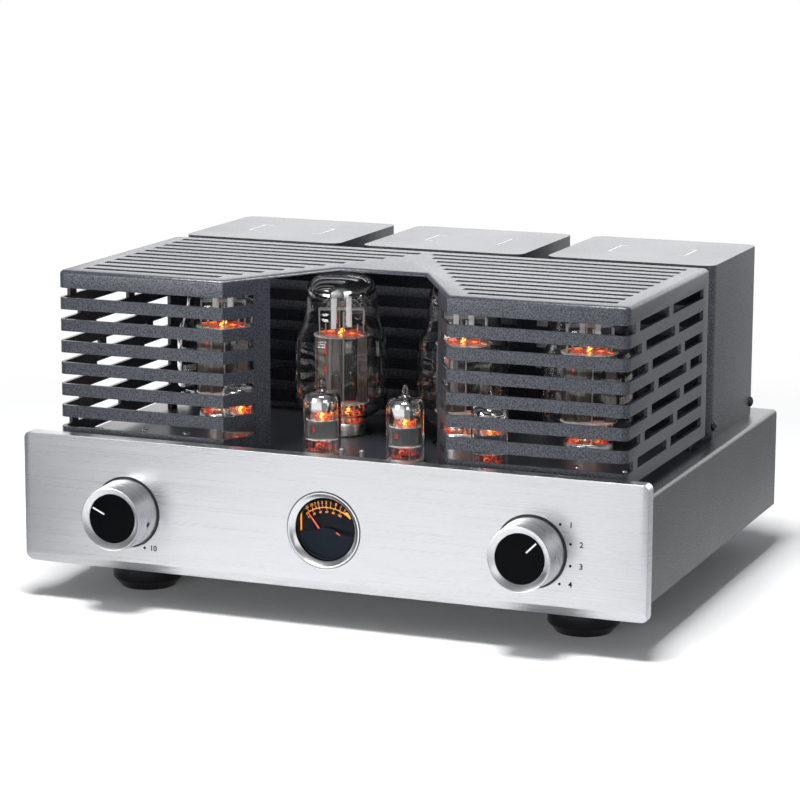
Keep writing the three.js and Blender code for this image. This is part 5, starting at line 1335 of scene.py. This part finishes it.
def make_rocker():
    side = -chassis.half
    inner_y, inner_z = rocker.body_y - rocker.wall, rocker.body_z - rocker.wall
    outer = rectangle(*span(rocker.y, rocker.frame_y), *span(rear_mid, rocker.frame_z), 2.5)
    outer = prism(outer, side - rocker.frame, side, "x")
    body = block(side - 0.5, side + rocker.depth, *span(rocker.y, rocker.body_y),
                 *span(rear_mid, rocker.body_z))
    well = block(side - rocker.frame - reach, side + rocker.depth - rocker.wall, *span(rocker.y, inner_y),
                 *span(rear_mid, inner_z))
    at = (side - rocker.frame + rocker.axis, rocker.y, rear_mid)
    looks = ("black_plastic", paint.plastic)
    frame_body = cut(boolean(outer, body, "UNION"), well)
    fixed("switch_frame", frame_body, *looks, "power_switch_frame", edge=0.3)
    axle = rod(1.2, -6.7, 6.7, "z", at, facets.small)
    fixed("switch_pin", axle, "steel", paint.steel, "power_switch_frame")
    half = inner_y - 2 * gap
    lift = half * math.tan(rocker.tilt * DEGREE)
    face = -rocker.axis + lift / 2
    shares = [k / 8 - 1 for k in range(17)]
    outline = [(face - lift * abs(share) ** rocker.dish, share * half) for share in shares]
    outline += [(face + 3.5, half), (face + 7, half / 2), (face + 7, -half / 2), (face + 3.5, -half)]
    high = rocker.height / 2 - rocker.wall - gap
    key = cut(prism(outline, -high, high), rod(1.5, -high - 1, high + 1, "z"))
    key = turned(key, rocker.tilt, "Z")
    piece("rocker_key", key, "rocker", *looks, "power_rocker", at=at, edge=0.3, angle=40)
    # A bar and a ring, one at each end of the key.
    marks = []
    bar = block(-0.05, 0.05, -0.4, 0.4, -2, 2)
    ring = tube(1.5, 2.1, -0.05, 0.05, "x", sides=facets.small)
    for shape, y in ((bar, -rocker.mark), (ring, rocker.mark)):
        share = abs(y) / half
        slope = -math.copysign(lift / half * rocker.dish * share ** (rocker.dish - 1), y)
        moved(shape, Matrix.Rotation(-math.atan(slope), 4, "Z"))
        placed(shape, face - lift * share ** rocker.dish - 0.02, y, 0)
        marks.append(turned(shape, rocker.tilt, "Z"))
    piece("rocker_marks", merged(*marks), "rocker", "satin_aluminium", paint.white, at=at)


make_terminals()
make_phono()
make_inlet()
make_aerial()
make_rocker()


view = Size(azimuth=view_azimuth, elevation=10.96, roll=0.26, distance=1821.9,
            target=(-14.10, 151.19, 103.39), lens=135.656, sensor=36.0)
# The floor, the lights and the flags: lengths and places are in metres.
stage = Size(size=9.0, floor_lift=0.04, ambient=0.21, near=0.42, far=0.75, dim=0.16, bright=0.95, rear=0.9,
             bright_way=(-0.36, -0.93, 0.0))


def make_floor():
    """Pale floor that takes shadows near the object and is plain white farther out."""
    bm = bmesh.new()
    corners = ((-1, -1), (1, -1), (1, 1), (-1, 1))
    bm.faces.new([bm.verts.new((x * stage.size, y * stage.size, 0)) for x, y in corners])
    floor = linked(bm, "floor")
    made, tree, shader = principled("pale_floor", (0.93, 0.93, 0.93), 0.9, Specular_IOR_Level=0.0)
    feed(shader, Base_Color=mixed(noise(tree, 3, detail=2), (0.925, 0.925, 0.93), (0.945, 0.945, 0.945)))
    away = ranged(length(coords_of(tree)), stage.floor_lift, 1.0, stage.near, stage.far,
                  interpolation_type="SMOOTHSTEP")
    white = node(tree, "Emission", Color=(1, 1, 1, 1), Strength=1.0)
    path = node(tree, "LightPath").outputs
    seen = maths("ADD", path["Is Camera Ray"], path["Is Glossy Ray"], clamp=True)
    seen = maths("ADD", seen, path["Is Transmission Ray"], clamp=True)
    final = blended(seen, shader, blended(away, shader, white))
    feed(tree.nodes["Material Output"], Surface=final.outputs[0])
    floor.data.materials.append(made)


def make_world():
    """White to the camera, dim to matt surfaces, and a room with two bright sides to reflections."""
    world = bpy.data.worlds.new("studio")
    bpy.context.scene.world = world
    world.use_nodes = True
    tree = world.node_tree
    tree.nodes.clear()
    path = node(tree, "LightPath").outputs
    way = coords_of(tree, "Generated")
    towards = maths("DOT_PRODUCT", way, stage.bright_way, kind="VectorMath")
    front = ranged(towards, stage.dim, stage.bright, 0.68, 0.96)
    behind = ranged(part_of_vector(way, 1), 0.0, stage.rear - stage.dim, 0.3, 0.9)
    plain = node(tree, "Background", Color=(0.9, 0.95, 1, 1), Strength=stage.ambient)
    room = node(tree, "Background", Color=(1, 1, 1, 1), Strength=maths("ADD", front, behind))
    white = node(tree, "Background", Color=(1, 1, 1, 1), Strength=1.0)
    bent = maths("ADD", path["Is Glossy Ray"], path["Is Transmission Ray"], clamp=True)
    final = blended(path["Is Camera Ray"], blended(bent, plain, room), white)
    node(tree, "OutputWorld", Surface=final.outputs[0])


def soft_box(name, at, target, size, watts, diffuse=True, glossy=True):
    data = bpy.data.lights.new(name, "AREA")
    data.shape = "RECTANGLE"
    data.size, data.size_y = size
    data.energy = watts
    ob = in_scene(name, data)
    ob.location = at
    ob.rotation_euler = (Vector(target) - Vector(at)).to_track_quat("-Z", "Y").to_euler()
    ob.visible_diffuse = diffuse
    ob.visible_glossy = glossy
    ob.visible_transmission = glossy


def make_camera():
    az, el, roll = (v * DEGREE for v in (view.azimuth, view.elevation, view.roll))
    back = Vector((math.sin(az) * math.cos(el), -math.cos(az) * math.cos(el), math.sin(el)))
    target = Vector(view.target) * MM + Vector((0, FACE_Y, 0))
    right = (-back).cross(Vector((0, 0, 1))).normalized()
    up = right.cross(-back)
    across = right * math.cos(roll) + up * math.sin(roll)
    above = up * math.cos(roll) - right * math.sin(roll)
    data = bpy.data.cameras.new("camera")
    data.lens = view.lens
    data.sensor_width = view.sensor
    data.clip_end = 50
    ob = in_scene("camera", data)
    turn = Matrix((across, above, back)).transposed().to_4x4()
    ob.matrix_world = Matrix.Translation(target + back * view.distance * MM) @ turn
    bpy.context.scene.camera = ob


def card(name, corners, way, clear_share, dark_share, density=1.0, through=False):
    """Dark flag that only reflections see, clear on one side and denser along a direction."""
    bm = bmesh.new()
    bm.faces.new([bm.verts.new(c) for c in corners])
    flag = linked(bm, name)
    made, tree, shader = principled(name, (0.03, 0.032, 0.036), 0.9)
    along = maths("DOT_PRODUCT", coords_of(tree), way, kind="VectorMath")
    feed(shader, Base_Color=mixed(noise(tree, 2), (0.025, 0.027, 0.03), (0.035, 0.037, 0.042)),
         Alpha=ranged(along, 0, density, clear_share, dark_share))
    flag.data.materials.append(made)
    flag.visible_camera = flag.visible_diffuse = flag.visible_shadow = False
    flag.visible_transmission = through


make_camera()
make_floor()
make_world()
card("front_flag", ((-1.5, -0.55, 0), (-0.35, -0.745, 0), (-0.35, -0.745, 0.6), (-1.5, -0.55, 0.6)),
     (-1, 0, 0), 0.4, 0.85)
card("floor_flag",
     ((-1.5, -0.147, 0.002), (-0.03, -0.147, 0.002), (-0.2, -0.86, 0.002), (-1.5, -0.86, 0.002)),
     (-1, 0.236, 0), 0.08, 0.26, 0.9)
card("right_flag", ((0.19, -0.3, 0.002), (1.6, -0.3, 0.002), (1.6, 1.6, 0.002), (0.19, 1.6, 0.002)),
     (1, 0, 0), 0.19, 0.28, 0.55)
card("front_card", ((0.1, -0.3, 0.003), (0.42, -0.3, 0.003), (3.2, -3.0, 0.003), (0.9, -3.5, 0.003)),
     (0.47, -0.88, 0), 0.32, 0.55, 0.84, through=True)
soft_box("key_box", (0.02, -0.4, 1.6), (0, 0, 0.1), (0.5, 0.45), 34)
soft_box("back_box", (0, 2.2, 0.85), (0, 0.1, 0.15), (3.0, 0.9), 17, diffuse=False)
soft_box("left_box", (-1.15, -1.9, 0.7), (0, 0, 0.1), (0.9, 1.0), 23, diffuse=False)
soft_box("fill_box", (-0.2, -2.2, 0.42), (0, 0, 0.12), (1.2, 0.5), 11, glossy=False)
soft_box("right_box", (1.45, -1.6, 0.62), (0, 0, 0.1), (1.0, 1.0), 5, diffuse=False)

bpy.context.scene.view_settings.view_transform = "Standard"
